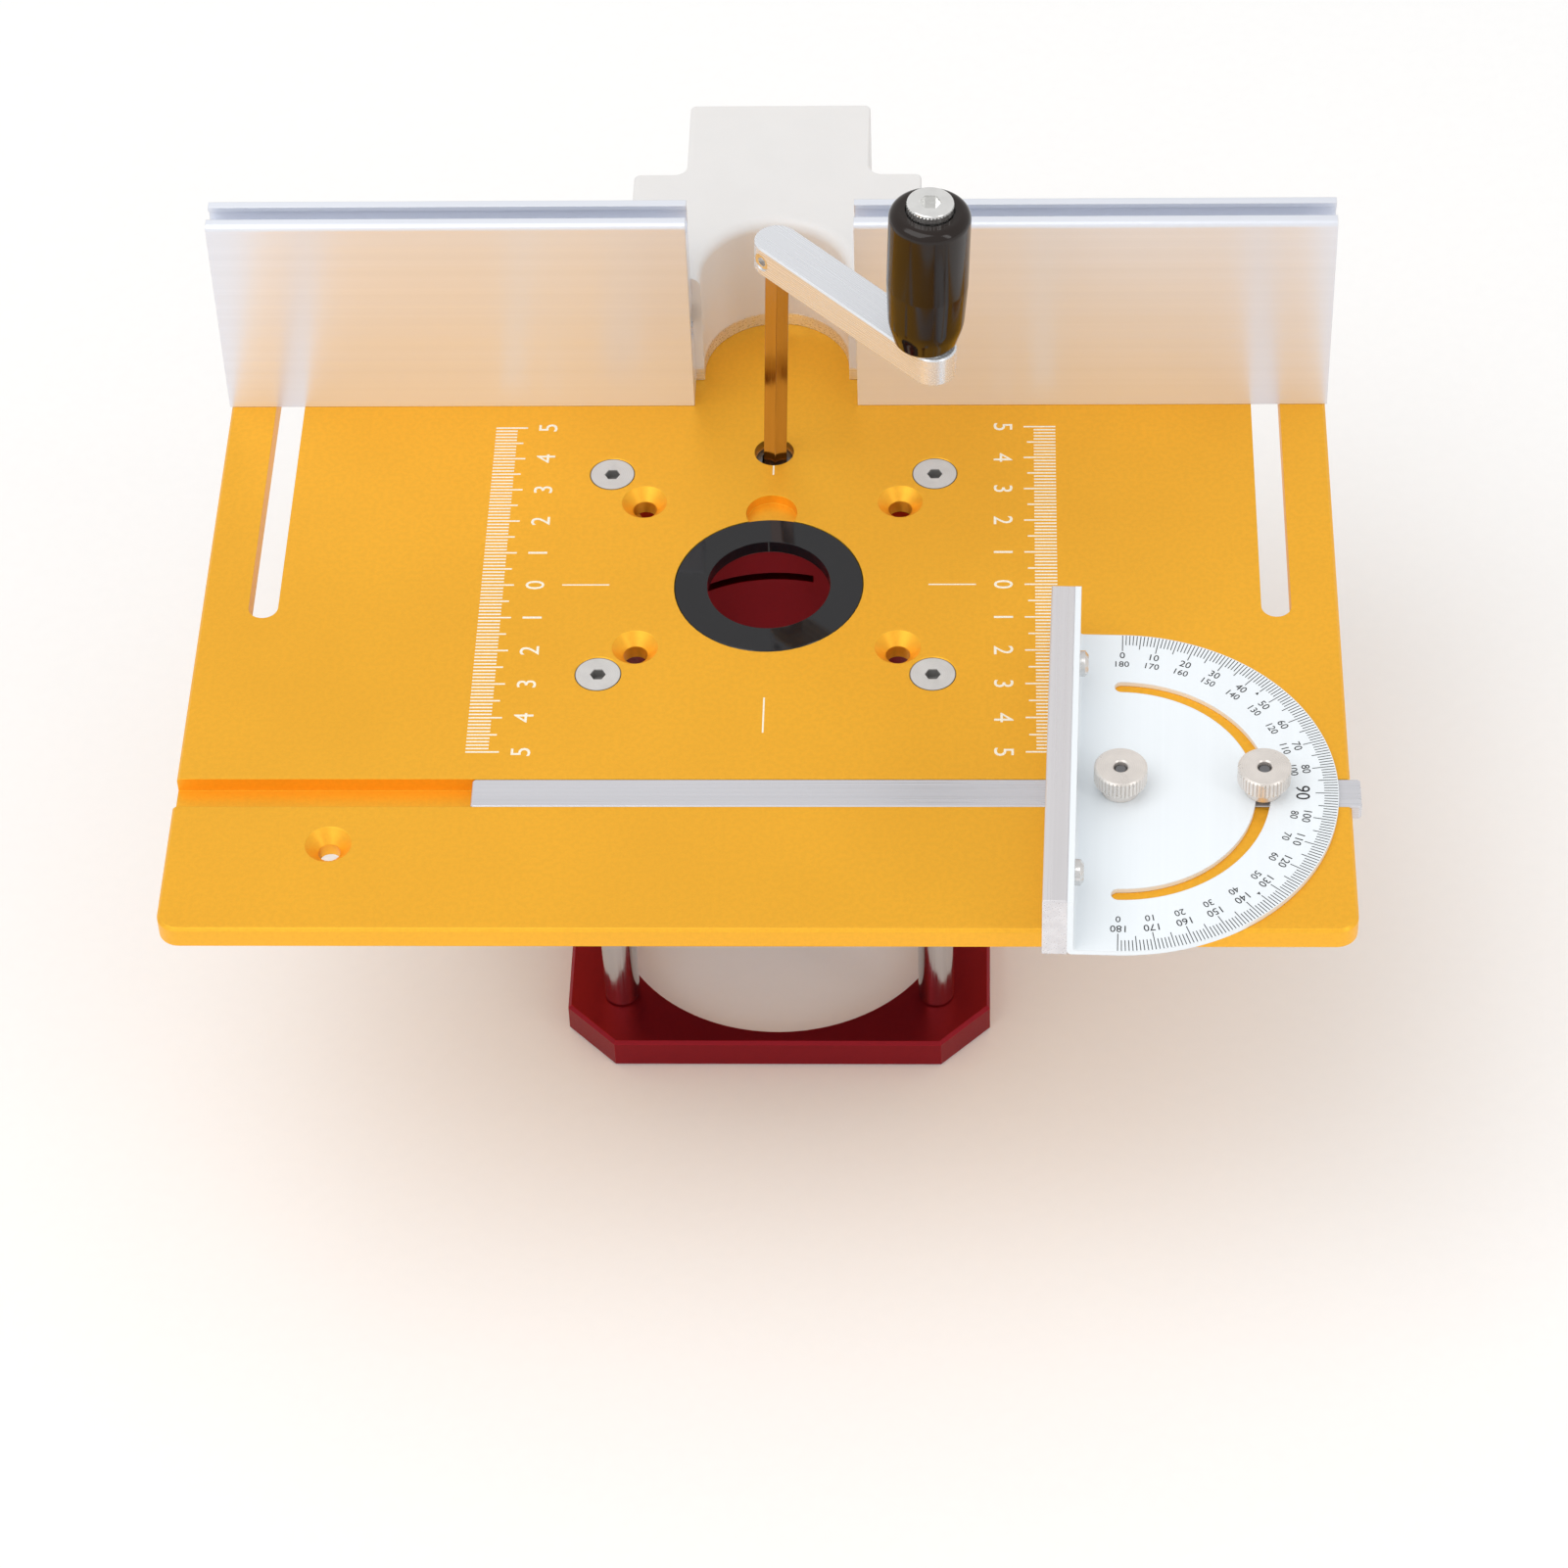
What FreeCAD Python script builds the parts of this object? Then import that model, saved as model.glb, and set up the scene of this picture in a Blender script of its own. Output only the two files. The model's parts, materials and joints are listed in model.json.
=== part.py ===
import FreeCAD, Part
import math
import os

import Sketcher
from FreeCAD import Placement, Rotation, Vector

# A bench router table with a screw lift. Millimetres, +Z up, +Y towards the fence.
# The origin is the bit's axis at the top face of the table plate.

DIMENSIONS = {
    # Table plate
    "plate_width": 244.0,
    "plate_depth": 200.0,
    "plate_thick": 5.5,
    "plate_corner": 4.5,
    "plate_edge": 0.6,
    "groove_offset": 61.75,
    "groove_width": 8.0,
    "groove_depth": 3.5,
    "slot_offset": 108.75,
    "slot_width": 6.4,
    "slot_front": -10.0,
    "slot_back": 94.5,
    "seat_radius": 20.45,
    "seat_depth": 3.0,
    "throat_radius": 17.0,
    "ring_radius": 20.38,
    "ring_bore": 13.3,
    "ring_thick": 3.0,
    "notch_offset": 22.5,
    "notch_radius": 5.6,
    "notch_depth": 2.4,
    "bench_hole_x": 88.6,
    "bench_hole_y": 76.3,
    "bench_hole_bore": 4.6,
    "bench_hole_sink": 9.8,
    "base_hole_x": 28.0,
    "base_hole_y": 22.5,
    "base_hole_centre": 3.5,
    "base_hole_bore": 5.2,
    "base_hole_sink": 10.0,
    # Lift columns and bottom plate
    "column_x": 35.5,
    "column_y": 31.0,
    "column_centre": 4.0,
    "column_radius": 4.0,
    "column_length": 97.1,
    "column_tap": 2.5,
    "column_tap_depth": 15.0,
    "frame_half_x": 47.65,
    "frame_half_y": 45.9,
    "frame_thick": 7.9,
    "frame_corner": 11.0,
    "frame_opening": 38.6,
    "frame_flat": 34.0,
    "frame_edge": 0.7,
    # Countersunk M5 socket screw
    "sink_head": 4.9,
    "sink_drop": 0.12,
    "sink_shank": 2.45,
    "sink_length": 17.0,
    "sink_hole": 5.3,
    "sink_cut": 10.2,
    "sink_key": 3.0,
    "sink_key_depth": 2.4,
    # Lead screw and its bushes
    "screw_offset": 42.0,
    "crank_hole": 4.35,
    "screw_radius": 4.0,
    "screw_pitch": 2.0,
    "thread_depth": 1.0,
    "screw_top": -2.4,
    "thread_top": -12.0,
    "thread_bottom": -101.3,
    "journal_radius": 3.0,
    "journal_end": -110.2,
    "socket_depth": 9.5,
    "bush_radius": 6.0,
    "bush_bore": 4.06,
    "bush_flange": 8.0,
    "bush_flange_thick": 1.2,
    "bush_seat": -2.0,
    "collar_radius": 8.0,
    "collar_thick": 4.4,
    "clip_thick": 0.8,
    "clip_groove": 2.4,
    "clip_recess": 2.9,
    "clip_recess_radius": 5.4,
    # Carriage with the motor clamp
    "clamp_radius": 32.5,
    "carriage_half_x": 47.0,
    "carriage_front": -40.0,
    "carriage_back": 50.0,
    "carriage_top": -15.0,
    "carriage_height": 40.0,
    "carriage_corner": 10.0,
    "lug_half": 10.0,
    "lug_front": -52.0,
    "lug_bolt_y": -46.5,
    "slit_width": 2.0,
    "nut_length": 28.0,
    "nut_flange": 7.0,
    "nut_flange_thick": 2.0,
    "clamp_bolt_head": 5.0,
    "clamp_bolt_shank": 2.95,
    "clamp_bolt_length": 19.0,
    # Crank
    "key_size": 5.0,
    "key_play": 0.4,
    "key_turn": 30.0,
    "shaft_bottom": -11.5,
    "crank_lean": 2.1,
    "lean_centre": -7.0,
    "arm_top": 61.5,
    "arm_thick": 7.2,
    "arm_half_width": 4.9,
    "arm_reach": 44.3,
    "arm_over": 2.3,
    "arm_angle": -44.4,
    "set_screw_radius": 2.0,
    "grip_height": 34.5,
    "grip_radius": 8.5,
    "grip_foot": 6.6,
    "grip_bore": 2.55,
    "grip_washer_thick": 0.6,
    "grip_head_radius": 4.8,
    "grip_head_height": 3.2,
    "grip_head_sink": 1.0,
    # Fence
    "fence_front": 57.2,
    "face_thick": 8.5,
    "face_height": 52.4,
    "face_length": 104.2,
    "face_inner": 18.2,
    "face_play": 0.05,
    "tee_height": 20.0,
    "angle_depth": 32.2,
    "angle_height": 36.0,
    "angle_thick": 3.4,
    "fence_bolt_y": 83.0,
    "relief_radius": 16.2,
    "relief_offset": 2.7,
    "bridge_half": 32.3,
    "bridge_depth": 35.7,
    "bridge_top": 30.0,
    "tail_half": 20.5,
    "tail_length": 24.3,
    "bridge_wall": 2.6,
    "face_bolt_inner": 50.0,
    "face_bolt_outer": 92.0,
    "knob_radius": 11.0,
    "knob_height": 16.0,
    # Mitre gauge
    "bar_left": -60.0,
    "bar_length": 184.1,
    "bar_width": 7.9,
    "bar_thick": 3.45,
    "pivot_x": 74.45,
    "mitre_set_angle": -1.7,
    "sheet_thick": 1.2,
    "sheet_gap": 0.05,
    "protractor_radius": 45.0,
    "flange_inner": 8.9,
    "flange_thick": 1.3,
    "flange_height": 15.4,
    "arc_radius": 29.5,
    "arc_width": 3.0,
    "arc_half_angle": 90.0,
    "stud_radius": 1.42,
    "stud_top": 7.2,
    "mitre_fence_width": 5.0,
    "mitre_fence_height": 15.6,
    "mitre_screw_y": 29.7,
    "mitre_screw_z": 7.75,
    "thumb_radius": 5.5,
    "thumb_thick": 4.2,
    "thumb_collar": 4.0,
    "thumb_collar_thick": 2.5,
}

TOLERANCE = 1e-6
ROOT_POINT = (-1, 1)
HORIZONTAL_AXIS = -1
VERTICAL_AXIS = -2


class Size:
    """A length or an angle: its number, and the sheet formula that gives it."""

    def __init__(self, value, formula, bound=True):
        self.value = value
        self.formula = formula
        self.bound = bound

    def combined(self, other, value, symbol, swapped=False):
        first, second = (other, self) if swapped else (self, other)
        formula = f"({first.formula} {symbol} {second.formula})"
        return Size(value, formula, self.bound or other.bound)

    def __add__(self, other):
        other = as_size(other)
        return self.combined(other, self.value + other.value, "+")

    __radd__ = __add__

    def __sub__(self, other):
        other = as_size(other)
        return self.combined(other, self.value - other.value, "-")

    def __rsub__(self, other):
        other = as_size(other)
        return self.combined(other, other.value - self.value, "-", swapped=True)

    def __mul__(self, other):
        other = as_size(other)
        return self.combined(other, self.value * other.value, "*")

    __rmul__ = __mul__

    def __truediv__(self, other):
        other = as_size(other)
        return self.combined(other, self.value / other.value, "/")

    def __neg__(self):
        return Size(-self.value, f"(0 - {self.formula})", self.bound)


def as_size(thing):
    if isinstance(thing, Size):
        return thing
    return Size(float(thing), repr(float(thing)), bound=False)


def cosine(angle):
    """Cosine of an angle in degrees."""
    angle = as_size(angle)
    return Size(math.cos(math.radians(angle.value)), f"cos({angle.formula} * 1deg)", angle.bound)


def sine(angle):
    """Sine of an angle in degrees."""
    angle = as_size(angle)
    return Size(math.sin(math.radians(angle.value)), f"sin({angle.formula} * 1deg)", angle.bound)


class Sheet:
    """The driving dimensions, as attributes."""

    def __init__(self, document, values):
        self.table = document.addObject("Spreadsheet::Sheet", "Dimensions")
        for row, (alias, value) in enumerate(values.items(), start=1):
            self.table.set(f"A{row}", alias)
            self.table.set(f"B{row}", str(value))
            self.table.setAlias(f"B{row}", alias)
            setattr(self, alias, Size(value, f"Dimensions.{alias}"))


doc = FreeCAD.newDocument("RouterTable")
d = Sheet(doc, DIMENSIONS)
doc.recompute()

nodes = []


# ---------------------------------------------------------------- sketches

def bind(thing, prop, size):
    """Ties a property to the sheet, or sets a plain number."""
    size = as_size(size)
    if size.bound:
        thing.setExpression(prop, size.formula)
    else:
        setattr(thing, prop, size.value)


def new_sketch(body, role, offset):
    """A sketch on one of the body's own origin planes, moved along its normal."""
    plane = next(item for item in body.Origin.OriginFeatures if item.Role == role)
    sketch = body.newObject("Sketcher::SketchObject", f"{body.Name}_sketch")
    sketch.AttachmentSupport = (plane, [""])
    sketch.MapMode = "FlatFace"
    offset = as_size(offset)
    sketch.AttachmentOffset = Placement(Vector(0, 0, offset.value), Rotation())
    if offset.bound:
        sketch.setExpression("AttachmentOffset.Base.z", offset.formula)
    return sketch


def name_and_bind(sketch, constraint, name, size):
    number = sketch.addConstraint(constraint)
    sketch.renameConstraint(number, name)
    if size.bound:
        sketch.setExpression(f"Constraints.{name}", size.formula)


def pin_point(sketch, geometry, position, point, name):
    """Fixes one sketch point by its distances from the sketch's origin."""
    axes = (("DistanceX", VERTICAL_AXIS, "x"), ("DistanceY", HORIZONTAL_AXIS, "y"))
    for (rule, axis, letter), size in zip(axes, point):
        size = as_size(size)
        if abs(size.value) < TOLERANCE:
            sketch.addConstraint(Sketcher.Constraint("PointOnObject", geometry, position, axis))
            continue
        constraint = Sketcher.Constraint(rule, *ROOT_POINT, geometry, position, size.value)
        name_and_bind(sketch, constraint, f"{name}_{letter}", size)


def flat(point):
    return Vector(as_size(point[0]).value, as_size(point[1]).value, 0)


def draw_polygon(sketch, points):
    first = sketch.GeometryCount
    count = len(points)
    for index in range(count):
        start, end = flat(points[index]), flat(points[(index + 1) % count])
        sketch.addGeometry(Part.LineSegment(start, end), False)
    for index in range(count):
        joint = Sketcher.Constraint("Coincident", first + index, 2, first + (index + 1) % count, 1)
        sketch.addConstraint(joint)
    for index, point in enumerate(points):
        pin_point(sketch, first + index, 1, point, f"corner_{first + index}")


def draw_circle(sketch, centre, radius):
    radius = as_size(radius)
    number = sketch.addGeometry(Part.Circle(flat(centre), Vector(0, 0, 1), radius.value), False)
    pin_point(sketch, number, 3, centre, f"centre_{number}")
    name_and_bind(sketch, Sketcher.Constraint("Radius", number, radius.value), f"radius_{number}", radius)


def polygon(points):
    return lambda sketch: draw_polygon(sketch, points)


def rectangle(x_low, x_high, y_low, y_high):
    return polygon([(x_low, y_low), (x_high, y_low), (x_high, y_high), (x_low, y_high)])


def circles(*rounds):
    """Each round is (x, y, radius)."""
    def draw(sketch):
        for x, y, radius in rounds:
            draw_circle(sketch, (x, y), radius)
    return draw


def hexagon(across_flats, turn=0.0, centre=(0, 0)):
    """A hexagon by its width across flats."""
    radius = as_size(across_flats) / math.sqrt(3.0)
    corners = []
    for index in range(6):
        angle = math.radians(60.0 * index + turn)
        corners.append((centre[0] + radius * math.cos(angle), centre[1] + radius * math.sin(angle)))
    return polygon(corners)


def four_places(half_x, half_y, centre_y=0.0):
    """The corners of a rectangle pattern."""
    return [(x, centre_y + y) for x in (-half_x, half_x) for y in (-half_y, half_y)]


# ---------------------------------------------------------------- features

def new_body(label):
    body = doc.addObject("PartDesign::Body", label)
    body.Label = label
    return body


def settle(body, feature, before, grows):
    """Recomputes, and stops if the feature didn't add or remove material."""
    body.Tip = feature
    doc.recompute()
    change = body.Shape.Volume - before
    if (change > TOLERANCE) != grows or abs(change) <= TOLERANCE:
        raise RuntimeError(f"{feature.Label} in {body.Label} changed the volume by {change}")
    return feature


def volume_of(body):
    shape = body.Shape
    return 0.0 if shape.isNull() else shape.Volume


def sketched(body, kind, draw, start, plane):
    before = volume_of(body)
    sketch = new_sketch(body, plane, start)
    draw(sketch)
    feature = body.newObject(kind, f"{body.Name}_{kind.split('::')[1]}")
    feature.Profile = sketch
    return feature, before


def pad(body, draw, start, length, plane="XY_Plane"):
    """Adds a prism that runs from start, along the plane's normal."""
    feature, before = sketched(body, "PartDesign::Pad", draw, start, plane)
    bind(feature, "Length", length)
    return settle(body, feature, before, grows=True)


def cut(body, draw, start, length, plane="XY_Plane"):
    """Removes a prism that runs from start, along the plane's normal."""
    feature, before = sketched(body, "PartDesign::Pocket", draw, start, plane)
    feature.Reversed = True
    bind(feature, "Length", length)
    return settle(body, feature, before, grows=False)


def turned(body, profile):
    """A solid of revolution about Z, from (radius, height) corners."""
    feature, before = sketched(body, "PartDesign::Revolution", polygon(profile), 0, "XZ_Plane")
    feature.ReferenceAxis = (feature.Profile[0], ["V_Axis"])
    feature.Angle = 360
    return settle(body, feature, before, grows=True)


def turned_cut(body, profile, angle=360, middle=False):
    """Removes a solid of revolution about Z."""
    feature, before = sketched(body, "PartDesign::Groove", polygon(profile), 0, "XZ_Plane")
    feature.ReferenceAxis = (feature.Profile[0], ["V_Axis"])
    feature.Midplane = middle
    bind(feature, "Angle", angle)
    return settle(body, feature, before, grows=False)


def sunk_holes(body, places, bore, sink, start=0.0, upwards=False):
    """Through holes with a 90 degree countersink."""
    before = volume_of(body)
    sketch = new_sketch(body, "XY_Plane", start)
    for place in places:
        draw_circle(sketch, place, bore / 2)
    doc.recompute()
    hole = body.newObject("PartDesign::Hole", f"{body.Name}_Hole")
    hole.Profile = sketch
    doc.recompute()
    hole.Reversed = upwards
    hole.DepthType = "ThroughAll"
    bind(hole, "Diameter", bore)
    hole.HoleCutType = "Countersink"
    bind(hole, "HoleCutDiameter", sink)
    hole.HoleCutCountersinkAngle = 90
    return settle(body, hole, before, grows=False)


def around(body, feature, count):
    """Repeats a feature about the body's Z axis."""
    before = volume_of(body)
    axis = next(item for item in body.Origin.OriginFeatures if item.Role == "Z_Axis")
    pattern = body.newObject("PartDesign::PolarPattern", f"{body.Name}_PolarPattern")
    pattern.Originals = [feature]
    pattern.Axis = (axis, [""])
    pattern.Angle = 360
    pattern.Occurrences = count
    return settle(body, pattern, before, grows=False)


def dressed(body, kind, chosen, prop, size):
    """Rounds or bevels the chosen edges."""
    base = body.Tip
    edges = [f"Edge{number}" for number, edge in enumerate(base.Shape.Edges, start=1) if chosen(edge)]
    if not edges:
        raise RuntimeError(f"no edge of {body.Label} was chosen for the {kind}")
    feature = body.newObject(f"PartDesign::{kind}", f"{body.Name}_{kind}")
    feature.Base = (base, edges)
    bind(feature, prop, size)
    body.Tip = feature
    doc.recompute()
    if "Invalid" in feature.State:
        raise RuntimeError(f"{kind} failed in {body.Label}")
    return feature


def chamfer(body, chosen, size):
    return dressed(body, "Chamfer", chosen, "Size", size)


def fillet(body, chosen, size):
    return dressed(body, "Fillet", chosen, "Radius", size)


def near(first, second):
    return abs(first - as_size(second).value) < 1e-4


def level(height):
    """Edges that lie in one horizontal plane."""
    return lambda edge: near(edge.BoundBox.ZMin, height) and near(edge.BoundBox.ZMax, height)


def round_at(radius, height):
    """Circular edges of one radius at one height."""
    def chosen(edge):
        if not isinstance(edge.Curve, Part.Circle):
            return False
        return near(edge.Curve.Radius, radius) and level(height)(edge)
    return chosen


def upright(edge):
    """Straight edges along Z."""
    box = edge.BoundBox
    return box.XLength < 1e-4 and box.YLength < 1e-4


def either(*choices):
    return lambda edge: any(choice(edge) for choice in choices)


# ---------------------------------------------------------------- placing

def placed(thing, x=0.0, y=0.0, z=0.0, rotation=None):
    """Puts an object at a place that is tied to the sheet."""
    sizes = [as_size(value) for value in (x, y, z)]
    thing.Placement = Placement(Vector(*[size.value for size in sizes]), rotation or Rotation())
    for letter, size in zip("xyz", sizes):
        if size.bound:
            thing.setExpression(f"Placement.Base.{letter}", size.formula)
    return thing


def keep(thing, label=None):
    """Marks an object as one sub-part of the table."""
    if label:
        thing.Label = label
    nodes.append(thing)
    return thing


def group(label, source, places, rotation=None):
    """One node that holds a copy of the source at each place."""
    links = []
    for number, place in enumerate(places, start=1):
        link = doc.addObject("App::Link", f"{label}_{number}")
        link.LinkedObject = source
        link.LinkTransform = False
        links.append(placed(link, *place, rotation=rotation))
    compound = doc.addObject("Part::Compound", label)
    compound.Links = links
    return keep(compound, label)


def about(axis, degrees):
    return Rotation(Vector(*axis), degrees)


FLIPPED = about((1, 0, 0), 180)
ALONG_X = about((0, 1, 0), 90)
ALONG_Y = about((1, 0, 0), -90)


# ---------------------------------------------------------------- common sizes

frame_top = -(d.plate_thick + d.column_length)
frame_bottom = frame_top - d.frame_thick
clip_seat = frame_bottom + d.clip_recess
column_places = four_places(d.column_x, d.column_y, d.column_centre)
angle_front = d.fence_front + d.face_thick + d.face_play
arm_bottom = d.arm_top - d.arm_thick
sheet_top = d.sheet_gap + d.sheet_thick


# ---------------------------------------------------------------- table plate

def table_plate():
    body = new_body("table_plate")
    half_x, half_y = d.plate_width / 2, d.plate_depth / 2
    bottom = -d.plate_thick
    pad(body, rectangle(-half_x, half_x, -half_y, half_y), bottom, d.plate_thick)
    fillet(body, upright, d.plate_corner)
    chamfer(body, either(level(0), level(bottom)), d.plate_edge)

    groove_front = -(d.groove_offset + d.groove_width / 2)
    groove_back = -(d.groove_offset - d.groove_width / 2)
    groove = rectangle(-half_x - 1, half_x + 1, groove_front, groove_back)
    cut(body, groove, -d.groove_depth, d.groove_depth)

    fence_slots(body, bottom)
    cut(body, circles((0, 0, d.throat_radius)), bottom, d.plate_thick)
    cut(body, circles((0, 0, d.seat_radius)), -d.seat_depth, d.seat_depth)
    cut(body, circles((0, d.notch_offset, d.notch_radius)), -d.notch_depth, d.notch_depth)
    cut(body, circles((0, d.screw_offset, d.crank_hole)), bottom, d.plate_thick)
    cut(body, circles((0, d.screw_offset, d.bush_radius)), bottom, d.plate_thick + d.bush_seat)

    sunk_holes(body, column_places, d.sink_hole, d.sink_cut)
    base_places = four_places(d.base_hole_x, d.base_hole_y, d.base_hole_centre)
    sunk_holes(body, base_places, d.base_hole_bore, d.base_hole_sink)
    bench_places = four_places(d.bench_hole_x, d.bench_hole_y)
    sunk_holes(body, bench_places, d.bench_hole_bore, d.bench_hole_sink)
    return keep(body)


def fence_slots(body, bottom):
    """The two through slots that guide the fence, with round ends."""
    radius = d.slot_width / 2
    front, back = d.slot_front + radius, d.slot_back - radius
    for side in (-1, 1):
        centre = side * d.slot_offset
        straight = rectangle(centre - radius, centre + radius, front, back)
        cut(body, straight, bottom, d.plate_thick)
        cut(body, circles((centre, front, radius), (centre, back, radius)), bottom, d.plate_thick)


def insert_ring():
    body = new_body("insert_ring")
    pad(body, circles((0, 0, d.ring_radius), (0, 0, d.ring_bore)), 0, d.ring_thick)
    chamfer(body, round_at(d.ring_radius, d.ring_thick), 0.25)
    placed(body, z=-d.seat_depth)
    return keep(body)


# ---------------------------------------------------------------- lift frame

def sunk_screw():
    """Countersunk M5 socket screw, head at the origin and shank down."""
    body = new_body("sunk_screw")
    cone_end = -(d.sink_drop + d.sink_head - d.sink_shank)
    turned(body, [
        (0, -d.sink_drop),
        (d.sink_head, -d.sink_drop),
        (d.sink_shank, cone_end),
        (d.sink_shank, -d.sink_length),
        (0, -d.sink_length),
    ])
    socket_floor = -(d.sink_drop + d.sink_key_depth)
    cut(body, hexagon(d.sink_key), socket_floor, d.sink_key_depth)
    chamfer(body, round_at(d.sink_shank, -d.sink_length), 0.5)
    return body


def guide_column():
    body = new_body("guide_column")
    pad(body, circles((0, 0, d.column_radius)), 0, d.column_length)
    tap = circles((0, 0, d.column_tap))
    cut(body, tap, 0, d.column_tap_depth)
    cut(body, tap, d.column_length - d.column_tap_depth, d.column_tap_depth)
    ends = either(round_at(d.column_radius, 0), round_at(d.column_radius, d.column_length))
    chamfer(body, ends, 0.4)
    return body


def lift_base_plate():
    body = new_body("lift_base_plate")
    half_x, low = d.frame_half_x, d.column_centre - d.frame_half_y
    high, corner = d.column_centre + d.frame_half_y, d.frame_corner
    outline = cornered(half_x, low, high, corner)
    pad(body, outline, 0, d.frame_thick)
    chamfer(body, either(level(0), level(d.frame_thick)), d.frame_edge)
    cut(body, circles((0, 0, d.frame_opening)), 0, d.frame_thick)
    land = rectangle(-20, 20, d.frame_flat, d.screw_offset)
    pad(body, land, 0, d.frame_thick)
    cut(body, circles((0, d.screw_offset, d.bush_radius - 1)), 0, d.frame_thick)
    cut(body, circles((0, d.screw_offset, d.clip_recess_radius)), 0, d.clip_recess)
    sunk_holes(body, column_places, d.sink_hole, d.sink_cut, upwards=True)
    placed(body, z=frame_bottom)
    return keep(body)


def cornered(half_x, low, high, corner):
    """A rectangle with its four corners cut at 45 degrees."""
    return polygon([
        (corner - half_x, low),
        (half_x - corner, low),
        (half_x, low + corner),
        (half_x, high - corner),
        (half_x - corner, high),
        (corner - half_x, high),
        (-half_x, high - corner),
        (-half_x, low + corner),
    ])


def lift_frame():
    screw = sunk_screw()
    group("column_screws", screw, [(x, y, 0) for x, y in column_places])
    group("guide_columns", guide_column(), [(x, y, frame_top) for x, y in column_places])
    lift_base_plate()
    group("base_screws", screw, [(x, y, frame_bottom) for x, y in column_places], FLIPPED)


# ---------------------------------------------------------------- lead screw

def lead_screw():
    body = new_body("lead_screw")
    thread_end = d.thread_bottom
    turned(body, [
        (0, d.screw_top),
        (d.screw_radius, d.screw_top),
        (d.screw_radius, thread_end),
        (d.journal_radius, thread_end),
        (d.journal_radius, clip_seat - 0.2),
        (d.clip_groove, clip_seat - 0.2),
        (d.clip_groove, clip_seat - 0.3 - d.clip_thick),
        (d.journal_radius, clip_seat - 0.3 - d.clip_thick),
        (d.journal_radius, d.journal_end),
        (0, d.journal_end),
    ])
    cut_thread(body)
    socket = hexagon(d.key_size + d.key_play, turn=d.key_turn.value)
    cut(body, socket, d.screw_top - d.socket_depth, d.socket_depth)
    placed(body, y=d.screw_offset)
    return keep(body)


def cut_thread(body):
    """One trapezoidal groove, repeated up the screw once per pitch."""
    low = d.thread_bottom + 1.0
    root = d.screw_radius - d.thread_depth
    outside = d.screw_radius + 0.2
    groove = turned_cut(body, [
        (root, low + 0.33),
        (outside, low),
        (outside, low + 1.3),
        (root, low + 0.97),
    ])
    before = volume_of(body)
    axis = next(item for item in body.Origin.OriginFeatures if item.Role == "Z_Axis")
    pattern = body.newObject("PartDesign::LinearPattern", "lead_screw_thread")
    pattern.Originals = [groove]
    pattern.Direction = (axis, [""])
    turns = int((d.thread_top - low).value / d.screw_pitch.value)
    pattern.Occurrences = turns
    bind(pattern, "Length", d.screw_pitch * (turns - 1))
    settle(body, pattern, before, grows=False)


def flanged_bush(label, bore, barrel, flange, length, flange_thick):
    """A bush whose flange sits under its barrel, flange face at the origin."""
    body = new_body(label)
    turned(body, [
        (bore, 0),
        (flange, 0),
        (flange, flange_thick),
        (barrel, flange_thick),
        (barrel, flange_thick + length),
        (bore, flange_thick + length),
    ])
    return body


def screw_bearings():
    barrel = d.bush_radius - 0.01
    upper_length = d.plate_thick + d.bush_seat
    upper = flanged_bush("upper_bush", d.bush_bore, barrel, d.bush_flange, upper_length,
                         d.bush_flange_thick)
    placed(upper, y=d.screw_offset, z=-(d.plate_thick + d.bush_flange_thick))
    keep(upper)

    thrust = flanged_bush("thrust_bush", d.journal_radius + 0.05, barrel - 1, d.bush_flange - 1,
                          d.frame_thick - d.clip_recess, d.bush_flange_thick)
    placed(thrust, y=d.screw_offset, z=frame_top + d.bush_flange_thick, rotation=FLIPPED)
    keep(thrust)

    clip = new_body("screw_clip")
    pad(clip, circles((0, 0, d.journal_radius + 2), (0, 0, d.clip_groove + 0.02)), 0, d.clip_thick)
    cut(clip, rectangle(-1.8, 1.8, -6, 0), 0, d.clip_thick)
    placed(clip, y=d.screw_offset, z=clip_seat - 0.25 - d.clip_thick)
    keep(clip)


def screw_collar():
    """The set collar that keeps the screw from rising."""
    top = -(d.plate_thick + d.bush_flange_thick + 0.1)
    middle = d.collar_thick / 2
    body = new_body("screw_collar")
    pad(body, circles((0, 0, d.collar_radius), (0, 0, d.screw_radius + 0.02)), 0, d.collar_thick)
    chamfer(body, either(round_at(d.collar_radius, 0), round_at(d.collar_radius, d.collar_thick)), 0.4)
    cut(body, circles((0, middle, 1.52)), 0, d.collar_radius + 1, plane="YZ_Plane")
    placed(body, y=d.screw_offset, z=top - d.collar_thick)
    keep(body)

    grub = new_body("collar_set_screw")
    length = d.collar_radius - d.screw_radius - 0.6
    pad(grub, circles((0, 0, 1.5)), 0, length)
    cut(grub, hexagon(1.5), length - 1.5, 1.5)
    placed(grub, d.screw_radius + 0.1, d.screw_offset, top - middle, rotation=ALONG_X)
    keep(grub)


# ---------------------------------------------------------------- carriage

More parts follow.
